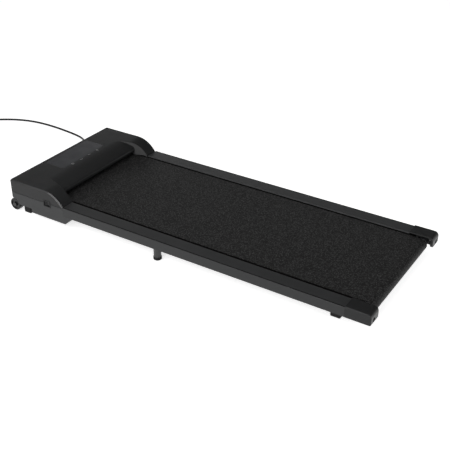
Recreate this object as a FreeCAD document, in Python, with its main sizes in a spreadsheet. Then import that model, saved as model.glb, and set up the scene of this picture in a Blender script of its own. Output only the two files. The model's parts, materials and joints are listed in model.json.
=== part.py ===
"""A walking pad: the slim treadmill that slides under a desk, with its motor, rollers, belt and lead.

Lengths are in millimetres. X runs along the pad, from the motor end to the tail, Y across it and Z up.
The origin is on the floor, in the middle of the pad. Outlines are drawn in s, the distance along X from
the back face of the motor cover, and each piece is shifted by half the length afterwards.
"""
import FreeCAD
import Part
import Sketcher
import math
import os

# Driving dimensions: alias, value, meaning
SIZES = [
    ("pad_length", 1215, "back face of the cover to the end of the caps"),
    ("pad_width", 470, "across the side rails"),
    ("overrun", 5, "how far a cutting tool passes the faces that it cuts"),
    ("press_gap", 0.05, "radial gap of pieces pressed together"),
    ("running_gap", 0.08, "radial gap of a shaft in its bearing"),
    ("hole_gap", 0.2, "radial gap round a fixed shaft or screw"),
    ("seat_gap", 0.3, "gap of a moulded piece round what it covers"),
    # Steel frame
    ("rail_bottom", 40, "lower edge of the rails above the floor"),
    ("rail_height", 29.6, "rail from its lower edge to the top strip"),
    ("strip_width", 46, "foot strip on top of a rail"),
    ("strip_thickness", 3, "foot strip"),
    ("skin_thickness", 2.6, "outer leg of the rail cover"),
    ("strip_edge", 1.2, "rounded outer edge of the foot strip"),
    ("strip_bevel", 2.2, "bevelled inner edge of the foot strip"),
    ("groove_inset", 1.6, "groove on the strip from its outer edge"),
    ("groove_width", 3, "groove on the strip"),
    ("groove_depth", 1.8, "groove on the strip"),
    ("inlay_drop", 0.3, "rubber inlay below the top of its groove"),
    ("tube_size", 25, "square tube of a side rail"),
    ("tube_wall", 2, "wall of the square tube"),
    ("tube_start", 8, "tube behind the cover's back face"),
    ("tube_end_gap", 19, "tube end to the end of the caps"),
    ("cross_width", 30, "crossmember along the pad"),
    ("cross_height", 9.4, "crossmember"),
    ("cross_wall", 1.5, "wall of a crossmember"),
    ("cross_first", 300, "place of the first crossmember"),
    ("tray_start", 16, "motor tray from the back face"),
    ("tray_length", 72, "motor tray along the pad"),
    ("tray_thickness", 2, "sheet of the motor tray"),
    ("tray_well_gap", 2, "openings of the tray round the motor and its pulley"),
    # Deck and walking belt
    ("deck_start", 184, "front edge of the deck"),
    ("deck_end_gap", 55, "rear edge of the deck to the end of the caps"),
    ("deck_thickness", 12, "deck board"),
    ("deck_side_gap", 3.4, "deck edge to the rail tube"),
    ("deck_round", 4, "rounded upper edges where the belt runs on and off"),
    ("cushion_radius", 7.5, "rubber cushion under the deck"),
    ("cushion_thickness", 3, "rubber cushion under the deck"),
    ("screw_radius", 2, "deck screw"),
    ("screw_head_radius", 4, "deck screw head"),
    ("screw_head_height", 2.4, "deck screw head"),
    ("belt_side_gap", 8.5, "walking belt to the foot strips"),
    ("belt_thickness", 1.5, "walking belt"),
    ("belt_gap", 0.3, "belt to roller"),
    ("belt_deck_gap", 0.2, "belt to deck"),
    # Rollers
    ("roller_radius", 16, "both rollers"),
    ("roller_wall", 2, "roller tube"),
    ("roller_overhang", 4, "roller past the belt at each side"),
    ("roller_chamfer", 0.8, "outer ends of a roller"),
    ("front_roller_place", 150, "front roller axis"),
    ("rear_roller_gap", 31, "rear roller axis to the end of the caps"),
    ("shaft_radius", 6, "fixed shaft of a roller"),
    ("shaft_end_gap", 0.4, "shaft end to the outer wall of the rail tube"),
    ("bearing_width", 8, "ball bearing"),
    ("bearing_inset", 2, "ball bearing in the roller end"),
    ("spacer_radius", 13, "spacer on the rear shaft"),
    ("spacer_gap", 0.5, "spacer to the end of the roller"),
    ("tension_travel", 16, "slot length beyond the rear shaft"),
    ("end_plate", 3, "plate on the rear end of a rail tube"),
    ("bolt_radius", 3, "belt tension bolt"),
    ("bolt_inset", 18, "tension bolt from the outer side"),
    ("bolt_head_radius", 5, "socket head"),
    ("bolt_head_length", 13, "socket head"),
    ("bolt_socket_radius", 2.5, "hexagon socket"),
    ("bolt_socket_depth", 3, "hexagon socket"),
    ("bolt_tip", 6, "bolt beyond the shaft that it pulls"),
    # Motor and drive
    ("roller_pulley_radius", 26, "pulley on the front roller"),
    ("motor_pulley_radius", 10, "pulley on the motor"),
    ("pulley_width", 17, "both pulleys"),
    ("pulley_bore_gap", 1.5, "roller pulley round the fixed shaft"),
    ("rib_pitch", 2.4, "grooves of the pulleys"),
    ("rib_depth", 1.4, "grooves of the pulleys"),
    ("drive_belt_width", 13, "ribbed drive belt"),
    ("drive_belt_thickness", 2.4, "ribbed drive belt"),
    ("motor_place", 62, "motor axis from the back face"),
    ("motor_height", 71, "motor axis above the floor"),
    ("motor_radius", 27, "motor can"),
    ("motor_headroom", 5.8, "motor can to the display board over it"),
    ("motor_length", 116, "motor can"),
    ("motor_bell", 8, "end bell of the motor can"),
    ("motor_bell_step", 2, "end bell is smaller by this"),
    ("motor_boss_radius", 9, "bearing boss of the motor"),
    ("motor_boss_length", 4, "bearing boss of the motor"),
    ("motor_shaft_radius", 4, "motor shaft"),
    ("motor_shaft_stub", 8, "motor shaft past the inner boss"),
    ("flywheel_radius", 25, "flywheel on the motor shaft"),
    ("flywheel_width", 14, "flywheel on the motor shaft"),
    ("flywheel_gap", 4, "flywheel to the motor boss"),
    ("flywheel_pulley_gap", 4, "flywheel to the motor pulley"),
    ("flywheel_rim", 6, "thick rim of the flywheel"),
    ("flywheel_web", 6, "web of the flywheel"),
    ("flywheel_hub", 9, "hub of the flywheel"),
    ("cheek_thickness", 3, "motor bracket plate"),
    ("cheek_half_width", 22, "motor bracket plate"),
    # Electronics
    ("board_thickness", 1.6, "printed boards"),
    ("controller_start", 25, "controller board from the back face"),
    ("controller_length", 60, "controller board along the pad"),
    ("controller_width", 134, "controller board across the pad"),
    ("controller_inset", 45, "controller board from the outer side"),
    ("standoff_height", 6, "posts under the controller board"),
    ("standoff_radius", 3, "posts under the controller board"),
    ("standoff_inset", 6, "posts from the board's edges"),
    ("sink_length", 40, "heat sink along the pad"),
    ("sink_width", 62, "heat sink across the pad"),
    ("sink_height", 34, "heat sink"),
    ("sink_base", 5, "base of the heat sink"),
    ("sink_fin", 2, "fin of the heat sink"),
    ("sink_inset", 5, "heat sink from the board's outer edge"),
    ("capacitor_radius", 9, "capacitor"),
    ("capacitor_height", 32, "capacitor"),
    ("capacitor_pitch", 19.5, "capacitors side by side"),
    ("capacitor_inset", 12, "capacitors from the board's inner edge"),
    # Motor cover
    ("cover_wall", 2.6, "wall of the cover and of the lower housing"),
    ("seam_gap", 0.4, "gap between cover and lower housing"),
    ("seam_groove", 1.2, "height of the groove over the seam"),
    ("seam_groove_depth", 1.4, "groove over the seam"),
    ("cover_corner", 7, "upright corners of the cover"),
    ("cover_edge", 3.6, "bevelled upper edge of the cover"),
    ("wing_flat", 142, "where the wings start to curve down"),
    ("wing_tip", 213, "where the wings meet the rails"),
    ("bay_start", 100, "where the middle of the cover starts to fall"),
    ("wing_back", 86, "width of a wing's foot where the bay starts"),
    ("wing_front", 49, "width of a wing's foot at its tip"),
    ("wing_lean", 17, "inner wall of a wing off the upright, in degrees"),
    ("lip_front", 168, "front of the lip over the belt"),
    ("lip_crown", 92, "height of the lip's front edge"),
    ("lip_bottom", 80, "lower edge of the lip"),
    ("lip_radius", 11, "rounding of the lip"),
    ("lip_end_gap", 2, "lip cut-out to the wings"),
    ("belt_headroom", 2.8, "cover above the walking belt"),
    ("belt_sideroom", 4, "cover beside the walking belt"),
    ("bay_under", 122, "where the cut-out over the belt starts"),
    ("window_start", 14, "display window from the back face"),
    ("window_length", 76, "display window along the pad"),
    ("window_width", 200, "display window across the pad"),
    ("window_offset", 12, "display window off the middle"),
    ("window_corner", 12, "display window"),
    ("window_thickness", 1.2, "display window"),
    ("window_ledge", 6, "ledge that the window is glued to"),
    ("display_length", 30, "display block on its board"),
    ("display_width", 90, "display block on its board"),
    ("display_height", 1.2, "display block on its board"),
    ("display_margin", 8, "display board past the window's opening"),
    # Lower housing
    ("floor_high", 28, "underside of the housing at the wheels"),
    ("floor_low", 12, "underside of the belly"),
    ("belly_start", 82, "front of the belly"),
    ("belly_end", 215, "where the belly's ramp starts"),
    ("ramp_end", 244, "where the ramp meets the rails"),
    ("belly_edge", 5, "rounded lower edges of the housing"),
    ("belt_window_low", 29, "lower edge of the belt's way out of the ramp"),
    ("belt_window_side", 6, "the belt's way out beside the belt"),
    ("well_length", 40, "wheel well from the back face"),
    ("well_wall", 3.4, "inner wall of the wheel well"),
    ("arch_gap", 6, "wheel arch round the wheel"),
    # End caps
    ("cap_length", 72, "end cap"),
    ("cap_proud_side", 1.2, "cap past the rail's outer face"),
    ("cap_proud_top", 3, "cap above the foot strip"),
    ("cap_below", 1, "cap below the rail"),
    ("cap_wall", 8, "rear wall of the cap"),
    ("cap_nose", 13, "rounded upper rear edge"),
    ("cap_heel", 4, "rounded lower rear edge"),
    ("cap_edge", 3, "rounded outer edges"),
    ("cap_inner_edge", 1.8, "bevelled inner edges"),
    ("cap_inner_corner", 14, "rounded inner lower corner of the rear wall"),
    ("cap_head_room", 6, "room in the cap behind the rail's end plate"),
    ("cap_inner_gap", 1, "cap to the inner edge of the strip"),
    ("cap_hole_radius", 6.5, "tool hole of the tension bolt"),
    # Wheels
    ("wheel_radius", 20, "transport wheel"),
    ("wheel_setback", 7, "wheel axis from the back face"),
    ("wheel_height", 20.3, "wheel axis above the floor"),
    ("wheel_width", 20, "transport wheel"),
    ("wheel_edge", 3, "rounded tread edges"),
    ("wheel_side_gap", 0.6, "wheel to its bracket and axle head"),
    ("wheel_dish", 3, "recess in the wheel's side"),
    ("wheel_rim", 5, "rim outside the recess"),
    ("wheel_hub", 7.5, "hub inside the recess"),
    ("axle_radius", 4, "wheel axle"),
    ("axle_head_radius", 6.5, "wheel axle head"),
    ("axle_head_length", 2.2, "wheel axle head"),
    ("bracket_thickness", 3.6, "wheel bracket"),
    ("bracket_half_width", 9, "wheel bracket"),
    # Feet
    ("front_foot_start", 38, "front foot from the back face"),
    ("front_foot_length", 26, "front foot"),
    ("front_foot_width", 24, "front foot"),
    ("front_foot_inset", 10, "front foot from the outer side"),
    ("foot_corner", 3, "rounded corners of the feet"),
    ("foot_taper", 1.5, "chamfer under the feet"),
    ("mid_foot_radius", 11, "middle foot post"),
    ("mid_pad_radius", 12.3, "rubber tip of the middle foot"),
    ("mid_pad_height", 9, "rubber tip of the middle foot"),
    ("mid_pad_cup", 3, "depth that the post sits in its tip"),
    ("rear_foot_gap", 112, "rear feet to the end of the caps"),
    ("rear_foot_length", 29, "rear foot"),
    ("rear_foot_width", 15.5, "rear foot"),
    ("rear_foot_inset", 35.5, "rear foot from the outer side"),
    # Power switch
    ("switch_start", 138, "switch cut-out from the back face"),
    ("switch_length", 25, "switch cut-out"),
    ("switch_low", 56, "lower edge of the switch cut-out"),
    ("switch_height", 19, "switch cut-out"),
    ("switch_depth", 20, "switch body behind the side"),
    ("switch_wall", 1.6, "wall of the switch body"),
    ("switch_flange", 1.5, "flange of the switch round its cut-out"),
    ("switch_proud", 0.8, "flange past the side"),
    ("switch_frame_gap", 2, "notch in the rail round the switch"),
    ("rocker_gap", 0.6, "rocker in its body, above and below"),
    ("rocker_end_gap", 1.3, "rocker in its body, at its ends"),
    ("rocker_rise", 1.5, "ends of the rocker above its middle"),
    ("rocker_sink", 3.4, "rocker's middle behind the flange"),
    ("rocker_depth", 9, "rocker"),
    ("rocker_pin", 5, "rocker pivot behind the rocker's middle"),
    ("rocker_taper", 3, "rocker is shorter at its back by this"),
    ("rocker_tilt", 8, "rocker off its middle position, in degrees"),
    # Power lead
    ("gland_inset", 45, "strain relief from the outer side"),
    ("gland_height", 40, "strain relief above the floor"),
    ("gland_radius", 7, "strain relief"),
    ("gland_flange", 9.5, "strain relief flange"),
    ("gland_flange_length", 3, "strain relief flange"),
    ("gland_length", 30, "tapered strain relief"),
    ("gland_tip", 5, "thin end of the strain relief"),
    ("gland_inside", 4, "strain relief behind the housing wall"),
    ("cord_diameter", 7, "power lead"),
    ("coil_radius", 44, "outermost half turn of the put-away coil"),
    ("coil_pitch", 7.6, "turns of the coil side by side and in layers"),
    ("tie_thickness", 1, "tie round the coil"),
    ("tie_width", 9, "tie round the coil"),
    ("tie_gap", 0.25, "tie round the turns"),
    ("plug_lead", 22, "lead between the coil and the plug"),
    ("plug_length", 30, "plug body"),
    ("plug_width", 27, "plug body"),
    ("plug_corner", 5, "rounded edges of the plug"),
    ("plug_neck", 16, "tapered neck of the plug"),
    ("plug_neck_radius", 8, "tapered neck at the plug body"),
    ("plug_neck_tip", 5, "tapered neck at the lead"),
    ("blade_length", 16, "plug blade"),
    ("blade_width", 6.3, "plug blade"),
    ("blade_thickness", 1.5, "plug blade"),
    ("blade_spread", 12.7, "between the blades"),
    ("blade_drop", 2, "blades above the plug's middle"),
    ("pin_length", 18, "round plug pin"),
    ("pin_thickness", 2.4, "radius of the round plug pin"),
    ("pin_drop", 7, "round pin below the plug's middle"),
]

MID_FOOT_SHARE = 0.455
PULLEY_RIBS = 6
SINK_FINS = 9
BOARD_CORNERS = ((0, 0), (0, 1), (1, 0), (1, 1))
COIL_HALF_TURNS_IN = 4
COIL_HALF_TURNS_OUT = 3
CAPACITORS = 3
GAP_SAMPLES_PER_ARC = 48

# The free lead, as chosen by hand: out of the strain relief, down to the floor and away to its coil
CORD_ROUTE = [
    (-634.0, 190.0, 40.0),
    (-660.5, 190.0, 40.0),
    (-695.5, 208.0, 33.0),
    (-721.5, 241.0, 19.5),
    (-749.5, 273.0, 7.5),
    (-789.5, 293.0, 3.5),
    (-860.5, 303.0, 3.5),
    (-945.5, 309.0, 3.5),
    (-1026.5, 304.0, 3.5),
    (-1096.5, 281.0, 3.5),
    (-1153.5, 242.0, 4.8),
    (-1199.5, 202.0, 4.8),
]


class Size:
    """A length, kept as an expression of the sheet and as its value."""

    def __init__(self, text, value):
        self.text = text
        self.value = value

    def __add__(self, other):
        other = size_of(other)
        return Size(f"({self.text} + {other.text})", self.value + other.value)

    def __sub__(self, other):
        other = size_of(other)
        return Size(f"({self.text} - {other.text})", self.value - other.value)

    def __mul__(self, other):
        other = size_of(other)
        return Size(f"({self.text} * {other.text})", self.value * other.value)

    def __truediv__(self, other):
        other = size_of(other)
        return Size(f"({self.text} / {other.text})", self.value / other.value)

    def __neg__(self):
        return Size(f"(0 - {self.text})", -self.value)

    def __rmul__(self, other):
        return self * other


def size_of(value):
    if isinstance(value, Size):
        return value
    return Size(repr(float(value)), float(value))


def root(value):
    return Size(f"sqrt({value.text})", math.sqrt(value.value))


class Sheet:
    """The named sizes, as attributes."""


doc = FreeCAD.newDocument("walking_pad")
table = doc.addObject("Spreadsheet::Sheet", "Sizes")
size = Sheet()
for row, (alias, value, meaning) in enumerate(SIZES, start=1):
    table.set(f"A{row}", meaning)
    table.set(f"B{row}", str(value))
    table.setAlias(f"B{row}", alias)
    setattr(size, alias, Size(f"Sizes.{alias}", value))
doc.recompute()

# Places that several pieces share
zero = size_of(0)
half_width = size.pad_width / 2
shift = (size.pad_length - (size.wheel_radius - size.wheel_setback)) / 2
rail_top = size.rail_bottom + size.rail_height
tube_top = rail_top - size.strip_thickness
tube_low = tube_top - size.tube_size
tube_out = half_width - size.skin_thickness
tube_in = tube_out - size.tube_size
tube_end = size.pad_length - size.tube_end_gap
strip_in = half_width - size.strip_width
belt_half = strip_in - size.belt_side_gap
roller_half = belt_half + size.roller_overhang
mid_foot_place = MID_FOOT_SHARE * size.pad_length
rear_foot_place = size.pad_length - size.rear_foot_gap
cross_places = (size.cross_first, mid_foot_place, (mid_foot_place + rear_foot_place) / 2, rear_foot_place)
cap_start = size.pad_length - size.cap_length
cross_top = tube_low + size.cross_height
deck_low = cross_top + size.cushion_thickness
deck_top = deck_low + size.deck_thickness
belt_inner = deck_top + size.belt_deck_gap
belt_top = belt_inner + size.belt_thickness
roller_height = belt_inner - size.belt_gap - size.roller_radius
rear_roller_place = size.pad_length - size.rear_roller_gap
tray_top = tube_low + size.tray_thickness
board_low = size.motor_height + size.motor_radius + size.motor_headroom
cover_top = board_low + size.board_thickness + size.cover_wall
pulley_start = roller_half
pulley_end = pulley_start + size.pulley_width
flywheel_end = pulley_start - size.flywheel_pulley_gap
flywheel_start = flywheel_end - size.flywheel_width
motor_end = flywheel_start - size.flywheel_gap - size.motor_boss_length
motor_start = motor_end - size.motor_length
seam = tube_top
housing_top = seam - size.seam_gap
screw_across = (strip_in + tube_in - size.deck_side_gap) / 2
bolt_across = half_width - size.bolt_inset
axle_in = tube_in
wheel_in = tube_in + size.bracket_thickness + size.wheel_side_gap
wheel_out = wheel_in + size.wheel_width
cord_radius = size.cord_diameter / 2
gland_across = half_width - size.gland_inset

nodes = []


def node(item):
    """Keep a finished sub-part under its own label."""
    nodes.append(item)
    return item


def bind(item, path, value):
    item.setExpression(path, size_of(value).text)


def place(item, s, y, z):
    bind(item, "Placement.Base.x", s - shift)
    bind(item, "Placement.Base.y", y)
    bind(item, "Placement.Base.z", z)


def block(label, along, across, up):
    """A box between pairs of places along, across and up."""
    item = doc.addObject("Part::Box", label)
    for name, (low, high) in zip(("Length", "Width", "Height"), (along, across, up)):
        bind(item, name, size_of(high) - low)
    place(item, size_of(along[0]), across[0], up[0])
    return item


AXIS_TURNS = {
    "X": FreeCAD.Rotation(FreeCAD.Vector(0, 1, 0), 90),
    "Y": FreeCAD.Rotation(FreeCAD.Vector(1, 0, 0), -90),
    "Z": FreeCAD.Rotation(),
}


def rod(label, axis, radius, length, s, y, z):
    """A cylinder that starts at s, y, z and runs along an axis."""
    item = doc.addObject("Part::Cylinder", label)
    item.Placement = FreeCAD.Placement(FreeCAD.Vector(), AXIS_TURNS[axis])
    bind(item, "Radius", radius)
    bind(item, "Height", length)
    place(item, size_of(s), y, z)
    return item


def fuse(label, *items):
    item = doc.addObject("Part::MultiFuse", label)
    item.Shapes = list(items)
    return item


def cut(label, base, *tools):
    item = doc.addObject("Part::Cut", label)
    item.Base = base
    item.Tool = tools[0] if len(tools) == 1 else fuse(label + "_tools", *tools)
    return item


def group(label, items):
    item = doc.addObject("Part::Compound", label)
    item.Links = list(items)
    return item


def mirrored(label, source):
    """The same piece on the other side of the pad."""
    item = doc.addObject("Part::Mirroring", label)
    item.Source = source
    item.Normal = FreeCAD.Vector(0, 1, 0)
    return item


def pair(label, source):
    return [source, mirrored(label, source)]


def body(label, s=zero, y=zero, z=zero):
    item = doc.addObject("PartDesign::Body", label)
    place(item, s, y, z)
    return item


def origin_feature(owner, role):
    return next(item for item in owner.Origin.OriginFeatures if item.Role == role)


def sketch(owner, plane, offset=zero):
    item = owner.newObject("Sketcher::SketchObject", owner.Name + "_sketch")
    item.AttachmentSupport = (origin_feature(owner, plane), [""])
    item.MapMode = "FlatFace"
    bind(item, "AttachmentOffset.Base.z", offset)
    return item


def arc_between(start, end, radius):
    """The short arc from start to end, turning left where radius is positive and right where it isn't."""
    chord = end - start
    left = FreeCAD.Vector(-chord.y, chord.x, 0).normalize()
    reach = math.sqrt(max(radius * radius - chord.Length ** 2 / 4, 0))
    centre = (start + end) / 2 + left * math.copysign(reach, radius)
    first, last = (start, end) if radius > 0 else (end, start)
    angles = [math.atan2(p.y - centre.y, p.x - centre.x) for p in (first, last)]
    circle = Part.Circle(centre, FreeCAD.Vector(0, 0, 1), abs(radius))
    return Part.ArcOfCircle(circle, *angles)


def outline(drawing, corners):
    """Close a loop through corners. A corner with a third value starts an arc of that radius."""
    points = [FreeCAD.Vector(size_of(c[0]).value, size_of(c[1]).value, 0) for c in corners]
    first = drawing.GeometryCount
    starts = []
    for index, corner in enumerate(corners):
        end = points[(index + 1) % len(points)]
        if len(corner) == 2:
            drawing.addGeometry(Part.LineSegment(points[index], end))
            starts.append((1, 2))
            continue
        radius = size_of(corner[2])
        drawing.addGeometry(arc_between(points[index], end, radius.value))
        starts.append((1, 2) if radius.value > 0 else (2, 1))
    for index, corner in enumerate(corners):
        here = first + index
        after = first + (index + 1) % len(corners)
        begin, end = starts[index]
        link = (here, end, after, starts[(index + 1) % len(corners)][0])
        drawing.addConstraint(Sketcher.Constraint("Coincident", *link))
        for kind, value in (("DistanceX", corner[0]), ("DistanceY", corner[1])):
            value = size_of(value)
            number = drawing.addConstraint(Sketcher.Constraint(kind, -1, 1, here, begin, value.value))
            drawing.setExpression(f"Constraints[{number}]", value.text)
        if len(corner) == 3:
            radius = size_of(corner[2])
            radius = radius if radius.value > 0 else -radius
            number = drawing.addConstraint(Sketcher.Constraint("Radius", here, radius.value))
            drawing.setExpression(f"Constraints[{number}]", radius.text)


def rectangle(low_x, high_x, low_y, high_y):
    return [(low_x, low_y), (high_x, low_y), (high_x, high_y), (low_x, high_y)]


def prism(label, plane, low, high, *loops):
    """A body padded from low to high off one of its planes, with holes where there are more loops."""
    owner = body(label)
    drawing = sketch(owner, plane, -size_of(high) if plane == "XZ_Plane" else size_of(low))
    for loop in loops:
        outline(drawing, loop)
    item = owner.newObject("PartDesign::Pad", label + "_pad")
    item.Profile = drawing
    bind(item, "Length", size_of(high) - low)
    return owner


def revolved(label, corners, s, y, z, axis="Y_Axis"):
    """A body turned about its own axis, which passes through s, y, z."""
    owner = body(label, size_of(s), y, z)
    drawing = sketch(owner, "XY_Plane")
    outline(drawing, corners)
    item = owner.newObject("PartDesign::Revolution", label + "_turn")
    item.Profile = drawing
    item.ReferenceAxis = (origin_feature(owner, axis), [""])
    item.Angle = 360
    return owner


def ring(label, inner, outer, low, high, s, z):
    """A plain ring round an axis that runs across the pad."""
    return revolved(label, rectangle(inner, outer, low, high), s, zero, z)


def middle(edge):
    return edge.valueAt((edge.FirstParameter + edge.LastParameter) / 2)


def spans(edge, axis):
    """Whether an edge is straight and runs along an axis of its body."""
    if edge.Curve.TypeId != "Part::GeomLine":
        return False
    return abs(abs(edge.tangentAt(edge.FirstParameter).dot(axis)) - 1) < 1e-6


ALONG = FreeCAD.Vector(1, 0, 0)
ACROSS = FreeCAD.Vector(0, 1, 0)
UP = FreeCAD.Vector(0, 0, 1)
NEAR = 1e-4


def dressed(kind, label, owner, amount, chosen):
    """Fillet or chamfer the edges that chosen picks on a body's last feature."""
    doc.recompute()
    base = owner.Tip
    names = [f"Edge{i}" for i, edge in enumerate(base.Shape.Edges, start=1) if chosen(edge)]
    item = owner.newObject("PartDesign::" + kind, label)
    item.Base = (base, names)
    bind(item, "Radius" if kind == "Fillet" else "Size", amount)
    owner.Tip = item
    return owner


# Steel frame


def shaft_slot(label, place_s, travel):
    """The way through the inner wall of a rail tube for a roller shaft, lengthened by its travel."""
    radius = size.shaft_radius + size.hole_gap
    depth = size.tube_wall + size.overrun
    start = tube_in - size.overrun
    first = rod(label + "_hole", "Y", radius, depth, place_s, start, roller_height)
    if travel is None:
        return first
    last = rod(label + "_far", "Y", radius, depth, place_s - travel, start, roller_height)
    between = block(
        label + "_run",
        (place_s - travel, place_s),
        (start, start + depth),
        (roller_height - radius, roller_height + radius),
    )
    return fuse(label, first, last, between)


def side_rails():
    wall = size.tube_wall
    tube = prism(
        "rail_tube",
        "YZ_Plane",
        size.tube_start,
        tube_end,
        rectangle(tube_in, tube_out, tube_low, tube_top),
        rectangle(tube_in + wall, tube_out - wall, tube_low + wall, tube_top - wall),
    )
    right = cut(
        "right_side_rail",
        tube,
        shaft_slot("front_shaft_slot", size.front_roller_place, None),
        shaft_slot("rear_shaft_slot", rear_roller_place, size.tension_travel),
    )
    gap = size.switch_frame_gap
    notch = block(
        "switch_notch",
        (size.switch_start - gap, size.switch_start + size.switch_length + gap),
        (-(tube_out + size.overrun), -(tube_in - size.overrun)),
        (size.switch_low - gap, tube_top + size.overrun),
    )
    node(right)
    node(cut("left_side_rail", mirrored("left_rail_tube", right), notch))


def end_plates():
    along = (tube_end, tube_end + size.end_plate)
    plate = block("end_plate_blank", along, (tube_in, tube_out), (tube_low, tube_top))
    radius = size.bolt_radius + size.hole_gap
    start = tube_end - size.overrun
    length = size.end_plate + 2 * size.overrun
    hole = rod("end_plate_hole", "X", radius, length, start, bolt_across, roller_height)
    node(group("rail_end_plates", pair("left_end_plate", cut("right_end_plate", plate, hole))))


def deck_screw_holes(label, place_s, radius, low, high):
    hole = rod(label, "Z", radius, size_of(high) - low, place_s, screw_across, low)
    return pair(label + "_left", hole)


def crossmembers():
    wall = size.cross_wall
    radius = size.screw_radius + size.hole_gap
    for number, middle_s in enumerate(cross_places, start=1):
        half = size.cross_width / 2
        tube = prism(
            f"crossmember_tube_{number}",
            "XZ_Plane",
            -tube_in,
            tube_in,
            rectangle(middle_s - half, middle_s + half, tube_low, cross_top),
            rectangle(middle_s - half + wall, middle_s + half - wall, tube_low + wall, cross_top - wall),
        )
        low = cross_top - wall - wall
        holes = deck_screw_holes(f"crossmember_hole_{number}", middle_s, radius, low, cross_top + wall)
        node(cut(f"crossmember_{number}", tube, *holes))


def motor_tray():
    """A sheet across the pad, open to the front under the motor, the flywheel and the drive belt."""
    end = size.tray_start + size.tray_length
    gap = size.tray_well_gap
    sheet = block("tray_sheet", (size.tray_start, end), (-tube_in, tube_in), (tube_low, tray_top))
    along = (size.motor_place - size.motor_radius - gap, end + size.overrun)
    deep = (tube_low - size.overrun, tray_top + size.overrun)
    motor_well = block("tray_motor_well", along, (motor_start, motor_end), deep)
    drive_well = block("tray_drive_well", along, (flywheel_start - gap, pulley_end + gap), deep)
    node(cut("motor_tray", sheet, motor_well, drive_well))


# Deck and walking belt


def deck():
    end = size.pad_length - size.deck_end_gap
    side = tube_in - size.deck_side_gap
    board = prism(
        "deck_board", "XZ_Plane", -side, side, rectangle(size.deck_start, end, deck_low, deck_top)
    )
    dressed(
        "Fillet",
        "deck_board_round",
        board,
        size.deck_round,
        lambda edge: spans(edge, ACROSS) and middle(edge).z > deck_top.value - NEAR,
    )
    tools = []
    for number, middle_s in enumerate(cross_places, start=1):
        shank = size.screw_radius + size.hole_gap
        head = size.screw_head_radius + size.hole_gap
        low = deck_top - size.screw_head_height
        tools += deck_screw_holes(f"deck_hole_{number}", middle_s, shank, deck_low - size.overrun, deck_top)
        tools += deck_screw_holes(f"deck_seat_{number}", middle_s, head, low, deck_top + size.overrun)
    node(cut("deck", board, *tools))


def deck_cushions():
    rings = []
    for number, middle_s in enumerate(cross_places, start=1):
        pad = rod(
            f"cushion_{number}",
            "Z",
            size.cushion_radius,
            size.cushion_thickness,
            middle_s,
            screw_across,
            cross_top,
        )
        low = cross_top - size.overrun
        high = deck_low + size.overrun
        radius = size.screw_radius + size.hole_gap
        hole = deck_screw_holes(f"cushion_hole_{number}", middle_s, radius, low, high)[0]
        rings += pair(f"cushion_left_{number}", cut(f"cushion_ring_{number}", pad, hole))
    node(group("deck_cushions", rings))


def deck_screws():
    screws = []
    low = cross_top - size.cross_wall - deck_top
    shank = size.screw_radius
    head = size.screw_head_radius
    neck = -size.screw_head_height
    for number, middle_s in enumerate(cross_places, start=1):
        profile = [(zero, low), (shank, low), (shank, neck), (head, neck), (head, zero), (zero, zero)]
        screw = revolved(f"deck_screw_{number}", profile, middle_s, screw_across, deck_top)
        screw.Placement = FreeCAD.Placement(FreeCAD.Vector(), FreeCAD.Rotation(ALONG, 90))
        screws += pair(f"deck_screw_left_{number}", screw)
    node(group("deck_screws", screws))


def belt_loop(first, last, grow):
    """The loop round two circles (s, z, radius), drawn grow outside them."""
    (s1, z1, r1), (s2, z2, r2) = first, last
    run = s2 - s1
    rise = z2 - z1
    reach = root(run * run + rise * rise)
    lean = (r1 - r2) / reach
    square = root(size_of(1) - lean * lean)
    corners = []
    for sign, (s, z, r) in ((1, first), (-1, first), (-1, last), (1, last)):
        radius = r + grow
        out_s = (run * lean - sign * rise * square) / reach
        out_z = (rise * lean + sign * run * square) / reach
        corners.append((s + radius * out_s, z + radius * out_z))
    return corners


def loop_with_arcs(first, last, grow):
    """The same loop, its round ends cut at their outermost points so that each arc is a short one."""
    upper_first, lower_first, lower_last, upper_last = belt_loop(first, last, grow)
    (s1, z1, r1), (s2, z2, r2) = first, last
    run = s2 - s1
    rise = z2 - z1
    reach = root(run * run + rise * rise)
    r1 = r1 + grow
    r2 = r2 + grow
    back = (s1 - r1 * run / reach, z1 - r1 * rise / reach)
    front = (s2 + r2 * run / reach, z2 + r2 * rise / reach)
    return [
        (*upper_first, r1),
        (*back, r1),
        lower_first,
        (*lower_last, r2),
        (*front, r2),
        upper_last,
    ]


def belt_between(label, first, last, low, high, thickness):
    inner = loop_with_arcs(first, last, size.belt_gap)
    outer = loop_with_arcs(first, last, size.belt_gap + thickness)
    return prism(label, "XZ_Plane", low, high, outer, inner)


def walking_belt():
    front = (size.front_roller_place, roller_height, size.roller_radius)
    rear = (rear_roller_place, roller_height, size.roller_radius)
    node(belt_between("walking_belt", front, rear, -belt_half, belt_half, size.belt_thickness))


# Rollers


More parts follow.
